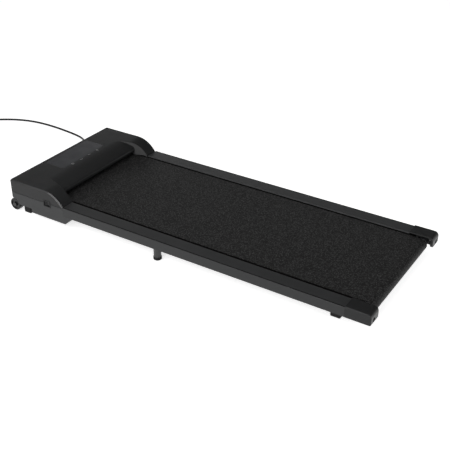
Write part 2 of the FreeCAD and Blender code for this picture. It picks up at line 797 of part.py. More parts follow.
def roller(name, place_s):
    outer = size.roller_radius
    inner = outer - size.roller_wall
    chamfer = size.roller_chamfer
    end = roller_half
    profile = [
        (inner, -end),
        (outer - chamfer, -end),
        (outer, -end + chamfer),
        (outer, end - chamfer),
        (outer - chamfer, end),
        (inner, end),
    ]
    node(revolved(f"{name}_roller", profile, place_s, zero, roller_height))
    high = roller_half - size.bearing_inset
    bearing = ring(
        f"{name}_bearing",
        size.shaft_radius + size.running_gap,
        inner - size.press_gap,
        high - size.bearing_width,
        high,
        place_s,
        roller_height,
    )
    node(group(f"{name}_roller_bearings", pair(f"{name}_bearing_left", bearing)))
    half = tube_out - size.tube_wall - size.shaft_end_gap
    shaft = rod(f"{name}_shaft_bar", "Y", size.shaft_radius, 2 * half, place_s, -half, roller_height)
    if name == "front":
        shaft.Label = "front_roller_shaft"
        node(shaft)
        return
    hole = rod(
        "tension_hole",
        "X",
        size.bolt_radius + size.hole_gap,
        2 * (size.shaft_radius + size.overrun),
        place_s - size.shaft_radius - size.overrun,
        bolt_across,
        roller_height,
    )
    node(cut("rear_roller_shaft", shaft, *pair("tension_hole_left", hole)))
    spacer = ring(
        "rear_shaft_spacer",
        size.shaft_radius + size.hole_gap,
        size.spacer_radius,
        roller_half + size.spacer_gap,
        tube_in,
        place_s,
        roller_height,
    )
    node(group("rear_shaft_spacers", pair("rear_shaft_spacer_left", spacer)))


def tension_bolts():
    """Socket bolts that draw the rear shaft towards the tail."""
    tip = rear_roller_place - size.shaft_radius - size.bolt_tip
    seat = tube_end + size.end_plate - tip
    head = seat + size.bolt_head_length
    socket = head - size.bolt_socket_depth
    profile = [
        (zero, zero),
        (head, zero),
        (head, size.bolt_head_radius),
        (seat, size.bolt_head_radius),
        (seat, size.bolt_radius),
        (zero, size.bolt_radius),
    ]
    blank = revolved("tension_bolt_blank", profile, tip, bolt_across, roller_height, "X_Axis")
    depth = size.bolt_socket_depth + size.overrun
    hexagon = doc.addObject("Part::Prism", "tension_bolt_socket")
    hexagon.Polygon = 6
    hexagon.Placement = FreeCAD.Placement(FreeCAD.Vector(), AXIS_TURNS["X"])
    bind(hexagon, "Circumradius", size.bolt_socket_radius)
    bind(hexagon, "Height", depth)
    place(hexagon, tip + socket, bolt_across, roller_height)
    bolt = cut("tension_bolt_right", blank, hexagon)
    node(group("tension_bolts", pair("tension_bolt_left", bolt)))


# Motor and drive


def ribbed_rim(radius, low, bore):
    """Half section of a pulley with V grooves round its rim, as (radius, across)."""
    width = size.pulley_width
    corners = [(bore, low + width), (bore, low), (radius, low)]
    start = low + (width - PULLEY_RIBS * size.rib_pitch) / 2
    for rib in range(PULLEY_RIBS):
        corners.append((radius, start + rib * size.rib_pitch))
        corners.append((radius - size.rib_depth, start + rib * size.rib_pitch + size.rib_pitch / 2))
    corners.append((radius, start + PULLEY_RIBS * size.rib_pitch))
    corners.append((radius, low + width))
    return corners


def pulleys():
    bore = size.shaft_radius + size.pulley_bore_gap
    rim = ribbed_rim(size.roller_pulley_radius, pulley_start, bore)
    node(revolved("roller_pulley", rim, size.front_roller_place, zero, roller_height))
    bore = size.motor_shaft_radius + size.press_gap
    rim = ribbed_rim(size.motor_pulley_radius, pulley_start, bore)
    node(revolved("motor_pulley", rim, size.motor_place, zero, size.motor_height))


def drive_belt():
    small = (size.motor_place, size.motor_height, size.motor_pulley_radius)
    large = (size.front_roller_place, roller_height, size.roller_pulley_radius)
    low = pulley_start + (size.pulley_width - size.drive_belt_width) / 2
    high = low + size.drive_belt_width
    node(belt_between("drive_belt", small, large, low, high, size.drive_belt_thickness))


def motor():
    bore = size.motor_shaft_radius + size.running_gap
    can = size.motor_radius
    bell = can - size.motor_bell_step
    boss = size.motor_boss_radius
    low = motor_start
    high = motor_end
    profile = [
        (bore, low - size.motor_boss_length),
        (boss, low - size.motor_boss_length),
        (boss, low),
        (bell, low),
        (bell, low + size.motor_bell),
        (can, low + size.motor_bell),
        (can, high - size.motor_bell),
        (bell, high - size.motor_bell),
        (bell, high),
        (boss, high),
        (boss, high + size.motor_boss_length),
        (bore, high + size.motor_boss_length),
    ]
    node(revolved("motor", profile, size.motor_place, zero, size.motor_height))


def motor_rotor():
    low = motor_start - size.motor_boss_length - size.motor_shaft_stub
    node(
        rod(
            "motor_shaft",
            "Y",
            size.motor_shaft_radius,
            pulley_end - low,
            size.motor_place,
            low,
            size.motor_height,
        )
    )
    start = flywheel_start
    end = flywheel_end
    web_low = start + (size.flywheel_width - size.flywheel_web) / 2
    web_high = web_low + size.flywheel_web
    bore = size.motor_shaft_radius + size.press_gap
    rim = size.flywheel_radius - size.flywheel_rim
    hub = size.flywheel_hub
    profile = [
        (bore, start),
        (hub, start),
        (hub, web_low),
        (rim, web_low),
        (rim, start),
        (size.flywheel_radius, start),
        (size.flywheel_radius, end),
        (rim, end),
        (rim, web_high),
        (hub, web_high),
        (hub, end),
        (bore, end),
    ]
    node(revolved("motor_flywheel", profile, size.motor_place, zero, size.motor_height))


def motor_bracket():
    """Two upright plates on the tray that hold the motor by its bosses."""
    half = size.cheek_half_width
    top = size.motor_height
    profile = [
        (size.motor_place - half, tray_top),
        (size.motor_place + half, tray_top),
        (size.motor_place + half, top, half),
        (size.motor_place, top + half, half),
        (size.motor_place - half, top),
    ]
    cheeks = []
    for name, low in (
        ("inner", motor_start - size.cheek_thickness),
        ("outer", motor_end),
    ):
        plate = prism(f"{name}_cheek_blank", "XZ_Plane", low, low + size.cheek_thickness, profile)
        hole = rod(
            f"{name}_cheek_hole",
            "Y",
            size.motor_boss_radius + size.hole_gap,
            size.cheek_thickness + 2 * size.overrun,
            size.motor_place,
            low - size.overrun,
            size.motor_height,
        )
        cheeks.append(cut(f"{name}_cheek", plate, hole))
    node(group("motor_bracket", cheeks))


# Electronics


def controller():
    along = (size.controller_start, size.controller_start + size.controller_length)
    outer = half_width - size.controller_inset
    across = (-outer, -outer + size.controller_width)
    low = tray_top + size.standoff_height
    board = block("controller_board", along, across, (low, low + size.board_thickness))
    inset = size.standoff_inset
    posts = []
    for number, (far_s, far_y) in enumerate(BOARD_CORNERS):
        s = along[0] + inset if far_s == 0 else along[1] - inset
        y = across[0] + inset if far_y == 0 else across[1] - inset
        posts.append(
            rod(f"standoff_{number}", "Z", size.standoff_radius, size.standoff_height, s, y, tray_top)
        )
    node(fuse("motor_controller", board, *posts))
    heat_sink(along, across, low + size.board_thickness)
    capacitors(along, across, low + size.board_thickness)


def heat_sink(along, across, low):
    """A comb of fins on a base, as extruded."""
    start = along[0] + (size.controller_length - size.sink_length) / 2
    first = across[0] + size.sink_inset
    pitch = (size.sink_width - size.sink_fin) / (SINK_FINS - 1)
    base = low + size.sink_base
    top = low + size.sink_height
    corners = [(first, low), (first + size.sink_width, low)]
    for fin in reversed(range(SINK_FINS)):
        left = first + fin * pitch
        right = left + size.sink_fin
        if fin < SINK_FINS - 1:
            corners.append((right, base))
        corners.append((right, top))
        corners.append((left, top))
        if fin > 0:
            corners.append((left, base))
    node(prism("controller_heat_sink", "YZ_Plane", start, start + size.sink_length, corners))


def capacitors(along, across, low):
    cans = []
    middle_s = along[0] + size.controller_length / 2
    for number in range(CAPACITORS):
        s = middle_s + (number - (CAPACITORS - 1) / 2) * size.capacitor_pitch
        y = across[1] - size.capacitor_inset
        cans.append(
            rod(f"capacitor_{number}", "Z", size.capacitor_radius, size.capacitor_height, s, y, low)
        )
    node(group("controller_capacitors", cans))


# Motor cover


def cover_blank(label, inset, low):
    """The cover's outer form, drawn inset inside its faces and reaching down to low."""
    drop = cover_top - seam
    run = size.wing_tip - size.wing_flat
    radius = (run * run + drop * drop) / (2 * drop)
    centre_z = cover_top - radius
    top = cover_top - inset
    curve = radius - inset
    below = low - centre_z
    tip = size.wing_flat + root(curve * curve - below * below)
    side = half_width - inset
    profile = [(inset, low), (tip, low, curve), (size.wing_flat, top), (inset, top)]
    form = prism(label, "XZ_Plane", -side, side, profile)
    dressed(
        "Fillet",
        label + "_corners",
        form,
        size.cover_corner - inset,
        lambda edge: spans(edge, UP) and middle(edge).x < inset.value + NEAR,
    )
    reach = side.value - size.cover_corner.value
    dressed(
        "Chamfer",
        label + "_edges",
        form,
        size.cover_edge - inset,
        lambda edge: not spans(edge, UP)
        and middle(edge).z > low.value + NEAR
        and (abs(middle(edge).y) > reach or middle(edge).x < inset.value + NEAR),
    )
    return form


def bay_half(s):
    """Half the width between the wings' feet at a place along the pad."""
    back = half_width - size.wing_back
    front = half_width - size.wing_front
    return back + (front - back) * (s - size.bay_start) / (size.wing_tip - size.bay_start)


def cover_bay(label, inset):
    """What is missing between the wings: the space over the middle of the cover and in front of its lip."""
    drop = cover_top - size.lip_crown
    run = size.lip_front - size.bay_start
    radius = (run * run + drop * drop) / (2 * drop)
    centre_z = cover_top - radius
    nose = size.lip_radius
    nose_s = size.lip_front - nose
    reach = radius - nose
    nose_run = nose_s - size.bay_start
    nose_rise = root(reach * reach - nose_run * nose_run)
    nose_z = centre_z + nose_rise
    skin = radius - inset
    meet = (size.bay_start + nose_run * skin / reach, centre_z + nose_rise * skin / reach)
    low = seam - 2 * size.overrun
    high = cover_top + size.overrun
    far = size.wing_tip + size.overrun
    front = size.lip_front - inset
    profile = [
        (size.bay_start, cover_top - inset, -skin),
        (*meet, -(nose - inset)),
        (front, nose_z),
        (front, low),
        (far, low),
        (far, high),
        (size.bay_start, high),
    ]
    over = prism(label + "_over", "XZ_Plane", -half_width, half_width, profile)
    foot = belt_top
    start = size.bay_start - 2 * size.overrun
    back = bay_half(start) + inset
    wide = bay_half(far) + inset
    plan = [(start, -back), (far, -wide), (far, wide), (start, back)]
    between = prism(label + "_between", "XY_Plane", foot, high, plan)
    bind(between.Tip, "TaperAngle", size.wing_lean)
    item = doc.addObject("Part::Common", label)
    item.Base = over
    item.Tool = between
    return item


def window_form(label, grow, low, high):
    """A prism of the display window's outline, grown by grow."""
    half = size.window_width / 2 + grow
    y = size.window_offset
    start = size.window_start - grow
    end = size.window_start + size.window_length + grow
    form = prism(label, "XY_Plane", low, high, rectangle(start, end, y - half, y + half))
    return dressed(
        "Fillet", label + "_corners", form, size.window_corner + grow, lambda edge: spans(edge, UP)
    )


def switch_opening(label):
    gap = size.hole_gap
    return block(
        label,
        (size.switch_start - gap, size.switch_start + size.switch_length + gap),
        (-(half_width + size.overrun), -(tube_out - size.overrun)),
        (size.switch_low - gap, size.switch_low + size.switch_height + gap),
    )


def seam_groove():
    """A groove round the foot of the cover, which draws its seam."""
    over = size.overrun
    deep = size.seam_groove_depth
    high = seam + size.seam_groove
    band = block(
        "seam_groove_band",
        (-over, size.wing_tip + over),
        (-(half_width + over), half_width + over),
        (seam - over, high),
    )
    side = half_width - deep
    plan = rectangle(deep, size.wing_tip + 2 * over, -side, side)
    core = prism("seam_groove_core", "XY_Plane", seam - 2 * over, high + over, plan)
    dressed(
        "Fillet",
        "seam_groove_corners",
        core,
        size.cover_corner - deep,
        lambda edge: spans(edge, UP) and middle(edge).x < deep.value + NEAR,
    )
    return cut("seam_groove_form", band, core)


def motor_cover():
    wall = size.cover_wall
    outer = cut("cover_outside", cover_blank("cover_blank", zero, seam), cover_bay("cover_bay", zero))
    core = cover_blank("cover_core", wall, seam - size.overrun)
    inner = cut("cover_inside", core, cover_bay("cover_bay_inside", wall))
    over = size.overrun
    lip_half = bay_half(size.lip_front - wall) - size.lip_end_gap
    under_lip = block(
        "under_lip",
        (size.bay_under, size.lip_front + over),
        (-lip_half, lip_half),
        (seam - over, size.lip_bottom),
    )
    side = belt_half + size.belt_sideroom
    over_belt = block(
        "over_belt",
        (size.bay_under, size.wing_tip + over),
        (-side, side),
        (seam - over, belt_top + size.belt_headroom),
    )
    seat = cover_top - size.window_thickness
    recess = window_form("window_recess", size.hole_gap, seat, cover_top + over)
    opening = window_form("window_opening", -size.window_ledge, cover_top - over, cover_top + over)
    node(
        cut(
            "motor_cover",
            outer,
            inner,
            under_lip,
            over_belt,
            recess,
            opening,
            switch_opening("cover_switch_opening"),
            seam_groove(),
        )
    )
    node(window_form("display_window", zero, seat, cover_top))


def display_board():
    ledge = size.window_ledge - size.display_margin
    start = size.window_start + ledge
    end = size.window_start + size.window_length - ledge
    y = size.window_offset
    half = size.window_width / 2 - ledge
    high = board_low + size.board_thickness
    board = block("display_card", (start, end), (y - half, y + half), (board_low, high))
    middle_s = (start + end) / 2
    digits = block(
        "display_digits",
        (middle_s - size.display_length / 2, middle_s + size.display_length / 2),
        (y - size.display_width / 2, y + size.display_width / 2),
        (high, high + size.display_height),
    )
    node(fuse("display_board", board, digits))


# Lower housing


def lower_housing():
    wall = size.cover_wall
    over = size.overrun
    top = housing_top
    profile = [
        (zero, size.floor_high),
        (size.belly_start, size.floor_high),
        (size.belly_start, size.floor_low),
        (size.belly_end, size.floor_low),
        (size.ramp_end, size.rail_bottom),
        (size.wing_tip, size.rail_bottom),
        (size.wing_tip, top),
        (zero, top),
    ]
    form = prism("housing_blank", "XZ_Plane", -half_width, half_width, profile)
    dressed(
        "Fillet",
        "housing_corners",
        form,
        size.cover_corner,
        lambda edge: spans(edge, UP) and middle(edge).x < NEAR,
    )
    dressed(
        "Fillet",
        "housing_edges",
        form,
        size.belly_edge,
        lambda edge: spans(edge, ALONG)
        and abs(middle(edge).y) > half_width.value - NEAR
        and abs(middle(edge).z - size.floor_low.value) < NEAR,
    )
    ramp_run = size.ramp_end - size.belly_end
    ramp_rise = size.rail_bottom - size.floor_low
    lean = ramp_run / ramp_rise
    thick = wall * root(size_of(1) + lean * lean)
    inner_side = half_width - wall
    hollow_profile = [
        (wall, size.floor_high + wall),
        (size.belly_start + wall, size.floor_high + wall),
        (size.belly_start + wall, size.floor_low + wall),
        (size.belly_end + lean * wall - thick, size.floor_low + wall),
        (size.ramp_end + lean * over - thick, size.rail_bottom + over),
        (size.wing_tip + over, size.rail_bottom + over),
        (size.wing_tip + over, top + over),
        (wall, top + over),
    ]
    hollow = prism("housing_hollow", "XZ_Plane", -inner_side, inner_side, hollow_profile)
    dressed(
        "Fillet",
        "housing_hollow_corners",
        hollow,
        size.cover_corner - wall,
        lambda edge: spans(edge, UP) and middle(edge).x < wall.value + NEAR,
    )
    shell = cut("housing_shell", form, hollow)
    well = block(
        "wheel_well",
        (wall, size.well_length),
        (tube_in - size.well_wall, half_width - wall),
        (size.floor_high, tube_low),
    )
    side = belt_half + size.belt_window_side
    belt_window = block(
        "belt_window",
        (size.wing_tip, size.ramp_end + over),
        (-side, side),
        (size.belt_window_low, size.rail_bottom + over),
    )
    arch = rod(
        "wheel_arch",
        "Y",
        size.wheel_radius + size.arch_gap,
        half_width + over - tube_in,
        size.wheel_setback,
        tube_in,
        size.wheel_height,
    )
    gland_hole = rod(
        "gland_hole",
        "X",
        size.gland_radius + size.hole_gap,
        wall + 2 * over,
        -over,
        gland_across,
        size.gland_height,
    )
    walls = fuse("housing_walls", shell, *pair("wheel_well_left", well))
    node(
        cut(
            "lower_housing",
            walls,
            belt_window,
            gland_hole,
            switch_opening("housing_switch_opening"),
            *pair("wheel_arch_left", arch),
        )
    )


# Rail covers and end caps


def rail_covers():
    """The moulded strip that feet step on, with a leg down the outside of the rail and a rubber inlay."""
    out = half_width
    groove_out = out - size.groove_inset
    groove_in = groove_out - size.groove_width
    groove_low = rail_top - size.groove_depth
    start = size.wing_tip + size.seam_gap
    profile = [
        (strip_in, tube_top),
        (tube_out, tube_top),
        (tube_out, size.rail_bottom),
        (out, size.rail_bottom),
        (out, rail_top),
        (groove_out, rail_top),
        (groove_out, groove_low),
        (groove_in, groove_low),
        (groove_in, rail_top),
        (strip_in + size.strip_bevel, rail_top),
        (strip_in, rail_top - size.strip_bevel),
    ]
    right = prism("right_rail_cover", "YZ_Plane", start, cap_start, profile)
    dressed(
        "Fillet",
        "rail_cover_edge",
        right,
        size.strip_edge,
        lambda edge: spans(edge, ALONG)
        and middle(edge).z > rail_top.value - NEAR
        and middle(edge).y > out.value - NEAR,
    )
    node(right)
    node(mirrored("left_rail_cover", right))
    inlay = block(
        "right_strip_inlay",
        (start, cap_start),
        (groove_in, groove_out),
        (groove_low, rail_top - size.inlay_drop),
    )
    node(group("strip_inlays", pair("left_strip_inlay", inlay)))


def end_caps():
    """Hooked caps: closed over the rail end, open towards the roller, with a round nose."""
    low = size.rail_bottom - size.cap_below
    top = rail_top + size.cap_proud_top
    out = half_width + size.cap_proud_side
    inner = strip_in - size.cap_inner_gap
    end = size.pad_length
    nose = size.cap_nose
    heel = size.cap_heel
    profile = [
        (cap_start, low),
        (end - heel, low, heel),
        (end, low + heel),
        (end, top - nose, nose),
        (end - nose, top),
        (cap_start, top),
    ]
    form = prism("cap_blank", "XZ_Plane", inner, out, profile)
    dressed(
        "Fillet",
        "cap_outer_edges",
        form,
        size.cap_edge,
        lambda edge: abs(middle(edge).y - out.value) < NEAR and middle(edge).x > cap_start.value + NEAR,
    )
    dressed(
        "Chamfer",
        "cap_inner_edges",
        form,
        size.cap_inner_edge,
        lambda edge: abs(middle(edge).y - inner.value) < NEAR and middle(edge).x > cap_start.value + NEAR,
    )
    gap = size.seat_gap
    over = size.overrun
    rail_room = block(
        "cap_rail_room",
        (cap_start - over, tube_end + size.end_plate + size.cap_head_room + gap),
        (tube_in - gap, tube_out + gap),
        (tube_low - gap, tube_top),
    )
    roller_room = block(
        "cap_roller_room",
        (cap_start - over, end - size.cap_wall),
        (inner - over, tube_in),
        (low - over, rail_top),
    )
    hole = rod(
        "cap_hole",
        "X",
        size.cap_hole_radius,
        size.cap_length,
        end - size.cap_wall - size.cap_head_room,
        bolt_across,
        roller_height,
    )
    corner = size.cap_inner_corner
    outline = [
        (inner - over, low - over),
        (inner + corner, low - over),
        (inner + corner, low, -corner),
        (inner, low + corner),
        (inner - over, low + corner),
    ]
    corner_room = prism("cap_corner_room", "YZ_Plane", end - size.cap_wall - over, end + over, outline)
    right = cut("right_end_cap", form, rail_room, roller_room, hole, corner_room)
    node(right)
    node(mirrored("left_end_cap", right))


# Wheels and feet


def transport_wheels():
    outer = size.wheel_radius
    edge = size.wheel_edge
    bore = size.axle_radius + size.running_gap
    dish = size.wheel_dish
    hub = size.wheel_hub
    rim = outer - size.wheel_rim
    low = wheel_in
    high = wheel_out
    profile = [
        (bore, low),
        (hub, low),
        (hub, low + dish),
        (rim, low + dish),
        (rim, low),
        (outer - edge, low, edge),
        (outer, low + edge),
        (outer, high - edge, edge),
        (outer - edge, high),
        (rim, high),
        (rim, high - dish),
        (hub, high - dish),
        (hub, high),
        (bore, high),
    ]
    right = node(revolved("right_wheel", profile, size.wheel_setback, zero, size.wheel_height))
    node(mirrored("left_wheel", right))
    head_start = wheel_out + size.wheel_side_gap
    head_end = head_start + size.axle_head_length
    radius = size.axle_radius
    head = size.axle_head_radius
    profile = [
        (zero, axle_in),
        (radius, axle_in),
        (radius, head_start),
        (head, head_start),
        (head, head_end),
        (zero, head_end),
    ]
    right = node(revolved("right_wheel_axle", profile, size.wheel_setback, zero, size.wheel_height))
    node(mirrored("left_wheel_axle", right))
    wheel_brackets()


def wheel_brackets():
    """Plates under the rail tubes that carry the axles, round at the lower end."""
    half = size.bracket_half_width
    middle_s = size.wheel_setback
    turn = size.wheel_height
    profile = [
        (middle_s - half, turn, half),
        (middle_s, turn - half, half),
        (middle_s + half, turn),
        (middle_s + half, tube_low),
        (middle_s - half, tube_low),
    ]
    plate = prism("wheel_bracket_blank", "XZ_Plane", tube_in, tube_in + size.bracket_thickness, profile)
    hole = rod(
        "wheel_bracket_hole",
        "Y",
        size.axle_radius + size.press_gap,
        size.bracket_thickness + 2 * size.overrun,
        middle_s,
        tube_in - size.overrun,
        size.wheel_height,
    )
    right = cut("right_wheel_bracket", plate, hole)
    node(right)
    node(mirrored("left_wheel_bracket", right))


def block_foot(label, along, across, high):
    """A rubber block foot with round corners and a chamfered sole."""
    form = prism(label, "XY_Plane", zero, high, rectangle(*along, *across))
    dressed("Fillet", label + "_corners", form, size.foot_corner, lambda edge: spans(edge, UP))
    return dressed(
        "Chamfer", label + "_sole", form, size.foot_taper, lambda edge: middle(edge).z < NEAR
    )


def feet():
    out = half_width - size.front_foot_inset
    along = (size.front_foot_start, size.front_foot_start + size.front_foot_length)
    right = node(
        block_foot("right_front_foot", along, (out - size.front_foot_width, out), size.floor_high)
    )
    node(mirrored("left_front_foot", right))
    out = half_width - size.rear_foot_inset
    half = size.rear_foot_length / 2
    along = (rear_foot_place - half, rear_foot_place + half)
    right = node(block_foot("right_rear_foot", along, (out - size.rear_foot_width, out), tube_low))
    node(mirrored("left_rear_foot", right))
    middle_feet()


def middle_feet():
    y = (tube_in + tube_out) / 2
    cup = size.mid_pad_height - size.mid_pad_cup
    post = rod(
        "mid_foot_post_right",
        "Z",
        size.mid_foot_radius,
        tube_low - cup,
        mid_foot_place,
        y,
        cup,
    )
    node(group("middle_foot_posts", pair("mid_foot_post_left", post)))
    outer = size.mid_pad_radius
    taper = size.foot_taper
    inner = size.mid_foot_radius + size.press_gap
    profile = [
        (zero, zero),
        (outer - taper, zero),
        (outer, taper),
        (outer, size.mid_pad_height),
        (inner, size.mid_pad_height),
        (inner, cup),
        (zero, cup),
    ]
    tip = revolved("mid_foot_tip_right", profile, mid_foot_place, y, zero)
    tip.Placement = FreeCAD.Placement(FreeCAD.Vector(), FreeCAD.Rotation(ALONG, 90))
    node(group("middle_foot_tips", pair("mid_foot_tip_left", tip)))


# Power switch


def power_switch():
    gap = size.hole_gap
    flange = size.switch_flange
    wall = size.switch_wall
    along = (size.switch_start, size.switch_start + size.switch_length)
    up = (size.switch_low, size.switch_low + size.switch_height)
    face = -(half_width + size.switch_proud)
    back = -(half_width - size.switch_depth)
    rim = block(
        "switch_rim",
        (along[0] - flange, along[1] + flange),
        (face, -half_width),
        (up[0] - flange, up[1] + flange),
    )
    case = block("switch_case", along, (-half_width, back), up)
    room = block(
        "switch_room",
        (along[0] + wall, along[1] - wall),
        (face - size.overrun, back - wall),
        (up[0] + wall, up[1] - wall),
    )
    node(cut("switch_body", fuse("switch_outside", rim, case), room))
    rocker(along, up, face)


def rocker(along, up, face):
    """A rocker with a shallow V face, resting with one end pressed in."""
    half = size.switch_length / 2 - size.switch_wall - size.rocker_end_gap
    waist = half - size.rocker_taper
    rise = size.rocker_rise
    profile = [
        (-half, -rise),
        (zero, zero),
        (half, -rise),
        (waist, size.rocker_depth),
        (-waist, size.rocker_depth),
    ]
    profile = [(x, y - size.rocker_pin) for x, y in profile]
    low = up[0] + size.switch_wall + size.rocker_gap
    high = up[1] - size.switch_wall - size.rocker_gap
    owner = prism("switch_rocker", "XY_Plane", low, high, profile)
    middle_s = (along[0] + along[1]) / 2
    owner.Placement = FreeCAD.Placement(FreeCAD.Vector(), FreeCAD.Rotation(UP, size.rocker_tilt.value))
    bind(owner, "Placement.Rotation.Angle", size.rocker_tilt)
    place(owner, middle_s, face + size.rocker_sink + size.rocker_pin, zero)
    node(owner)


# Power lead


def strain_relief():
    start = -(size.gland_flange_length + size.gland_length)
    profile = [
        (start, zero),
        (size.cover_wall + size.gland_inside, zero),
        (size.cover_wall + size.gland_inside, size.gland_radius),
        (zero, size.gland_radius),
        (zero, size.gland_flange),
        (-size.gland_flange_length, size.gland_flange),
        (-size.gland_flange_length, size.gland_radius),
        (start, size.gland_tip),
    ]
    node(revolved("strain_relief", profile, zero, gland_across, size.gland_height, "X_Axis"))


def tube_along(wire, radius, start, heading):
    """A round tube along a wire."""
    circle = Part.Circle(start, heading, radius)
    shell = Part.BRepOffsetAPI.MakePipeShell(wire)
    shell.add(Part.Wire(circle.toShape()), False, False)
    shell.build()
    shell.makeSolid()
    return shell.shape()


def cord_route():
    """The route's points, moved along the floor if the strain relief's tip has moved."""
    start = FreeCAD.Vector(*CORD_ROUTE[0])
    tip_s = -(size.gland_flange_length + size.gland_length) - shift
    moved = FreeCAD.Vector(tip_s.value, gland_across.value, start.z) - start
    return [FreeCAD.Vector(*point) + moved for point in CORD_ROUTE]


def cord_path():
    """Straight runs joined by arcs as large as the runs allow, with the radii of those arcs."""
    run_share = 0.45
    points = cord_route()
    edges = []
    radii = []
    here = points[0]
    for before, corner, after in zip(points, points[1:], points[2:]):
        back = before - corner
        ahead = after - corner
        reach = run_share * min(back.Length, ahead.Length)
        turn = math.pi - back.getAngle(ahead)
        radius = reach / math.tan(turn / 2)
        radii.append(radius)
        back.normalize()
        ahead.normalize()
        first = corner + back * reach
        last = corner + ahead * reach
        inward = (back + ahead).normalize()
        centre_distance = math.hypot(radius, reach)
        centre = corner + inward * centre_distance
        halfway = centre - inward * radius
        edges.append(Part.LineSegment(here, first).toShape())
        edges.append(Part.Arc(first, halfway, last).toShape())
        here = last
    edges.append(Part.LineSegment(here, points[-1]).toShape())
    return Part.Wire(edges), radii


def solid_node(label, shape):
    item = doc.addObject("Part::Feature", label)
    item.Shape = shape
    item.Placement = FreeCAD.Placement()
    return node(item)


def power_cord():
    wire, radii = cord_path()
    radius = cord_radius.value
    first, second = cord_route()[:2]
    tube = tube_along(wire, radius, first, second - first)
    solid_node("power_cord", tube)
    section = math.pi * radius ** 2
    print("cord arc radii", [round(value) for value in radii])
    share = tube.Volume / (section * wire.Length)
    print("cord length", round(wire.Length), "volume share", round(share, 4))
    return wire.Length


def coil_heading():
    """The direction in which the lead arrives at its coil, level with the floor."""
    before, last = cord_route()[-2:]
    heading = last - before
    heading.z = 0
    return last, heading.normalize()


def coil_arcs():
    """Half turns that spiral in on the floor, climb, and spiral out on top, as (start, middle, end)."""
    step = size.coil_pitch.value / 2
    start, heading = coil_heading()
    lead = size.cord_diameter.value
    here = start + heading * lead
    inward = UP.cross(heading)
    radii = [size.coil_radius.value - step * turn for turn in range(COIL_HALF_TURNS_IN + 1)]
    radii += [radii[-1] + step * (turn + 1) for turn in range(COIL_HALF_TURNS_OUT)]
    arcs = []
    side = 1
    for number, radius in enumerate(radii):
        climb = size.coil_pitch.value if number == COIL_HALF_TURNS_IN else 0
        across = inward * (2 * radius * side) + UP * climb
        end = here + across
        halfway = here + across / 2 + heading * (side * across.Length / 2)
        arcs.append((here, halfway, end))
        here = end
        side = -side
    return start, arcs, here + heading * (side * size.plug_lead.value)


def coil_gap(edges):
    """The least gap of the coil to itself, on points of its middle line half a turn or more apart."""
    points = []
    for edge in edges:
        points += edge.discretize(Number=GAP_SAMPLES_PER_ARC)[:-1]
    apart = GAP_SAMPLES_PER_ARC
    least = min(
        first.distanceToPoint(second)
        for index, first in enumerate(points)
        for second in points[index + apart:]
    )
    return least - size.cord_diameter.value


def cord_coil():
    start, arcs, end = coil_arcs()
    edges = [Part.LineSegment(start, arcs[0][0]).toShape()]
    edges += [Part.Arc(*arc).toShape() for arc in arcs]
    edges.append(Part.LineSegment(arcs[-1][2], end).toShape())
    wire = Part.Wire(edges)
    radius = cord_radius.value
    coil = tube_along(wire, radius, start, coil_heading()[1])
    solid_node("cord_coil", coil)
    section = math.pi * radius ** 2
    share = coil.Volume / (section * wire.Length)
    print("coil length", round(wire.Length), "volume share", round(share, 4))
    print("coil least gap", round(coil_gap(edges[1:-1]), 2))
    cord_tie(arcs)
    power_plug(end)
    return wire.Length


def turned(item, spot):
    """Set a piece drawn at the origin on its spot, facing along the coil's heading."""
    heading = coil_heading()[1]
    angle = math.degrees(math.atan2(heading.y, heading.x))
    item.Placement = FreeCAD.Placement(spot, FreeCAD.Rotation(UP, angle))
    return item


def cord_tie(arcs):
    """A band round the turns on the side where they lie two by two."""
    heading = coil_heading()[1]
    across = UP.cross(heading)
    tops = [arc[1] for arc in arcs[1::2]]
    reach = [point.dot(heading) for point in tops]
    aside = [point.dot(across) for point in tops]
    level = [point.z for point in tops]
    grow = cord_radius.value + size.tie_gap.value
    half = size.tie_width.value / 2
    tightest = min(arc[0].distanceToPoint(arc[2]) for arc in arcs[1::2]) / 2
    sag = tightest - math.sqrt(tightest ** 2 - (half + (max(aside) - min(aside)) / 2) ** 2)
    low_x, high_x = min(reach) - grow, max(reach) + grow + sag
    low_z, high_z = min(level) - grow, max(level) + grow
    wall = size.tie_thickness.value
    base = FreeCAD.Vector(low_x - wall, -half, low_z - wall)
    length = high_x - low_x
    height = high_z - low_z
    outer = Part.makeBox(length + 2 * wall, 2 * half, height + 2 * wall, base)
    outer = outer.makeFillet(wall, [edge for edge in outer.Edges if spans(edge, ACROSS)])
    inner = Part.makeBox(length, 2 * half, height, FreeCAD.Vector(low_x, -half, low_z))
    item = solid_node("cord_tie", outer.cut(inner))
    turned(item, across * (max(aside) + min(aside)) / 2)


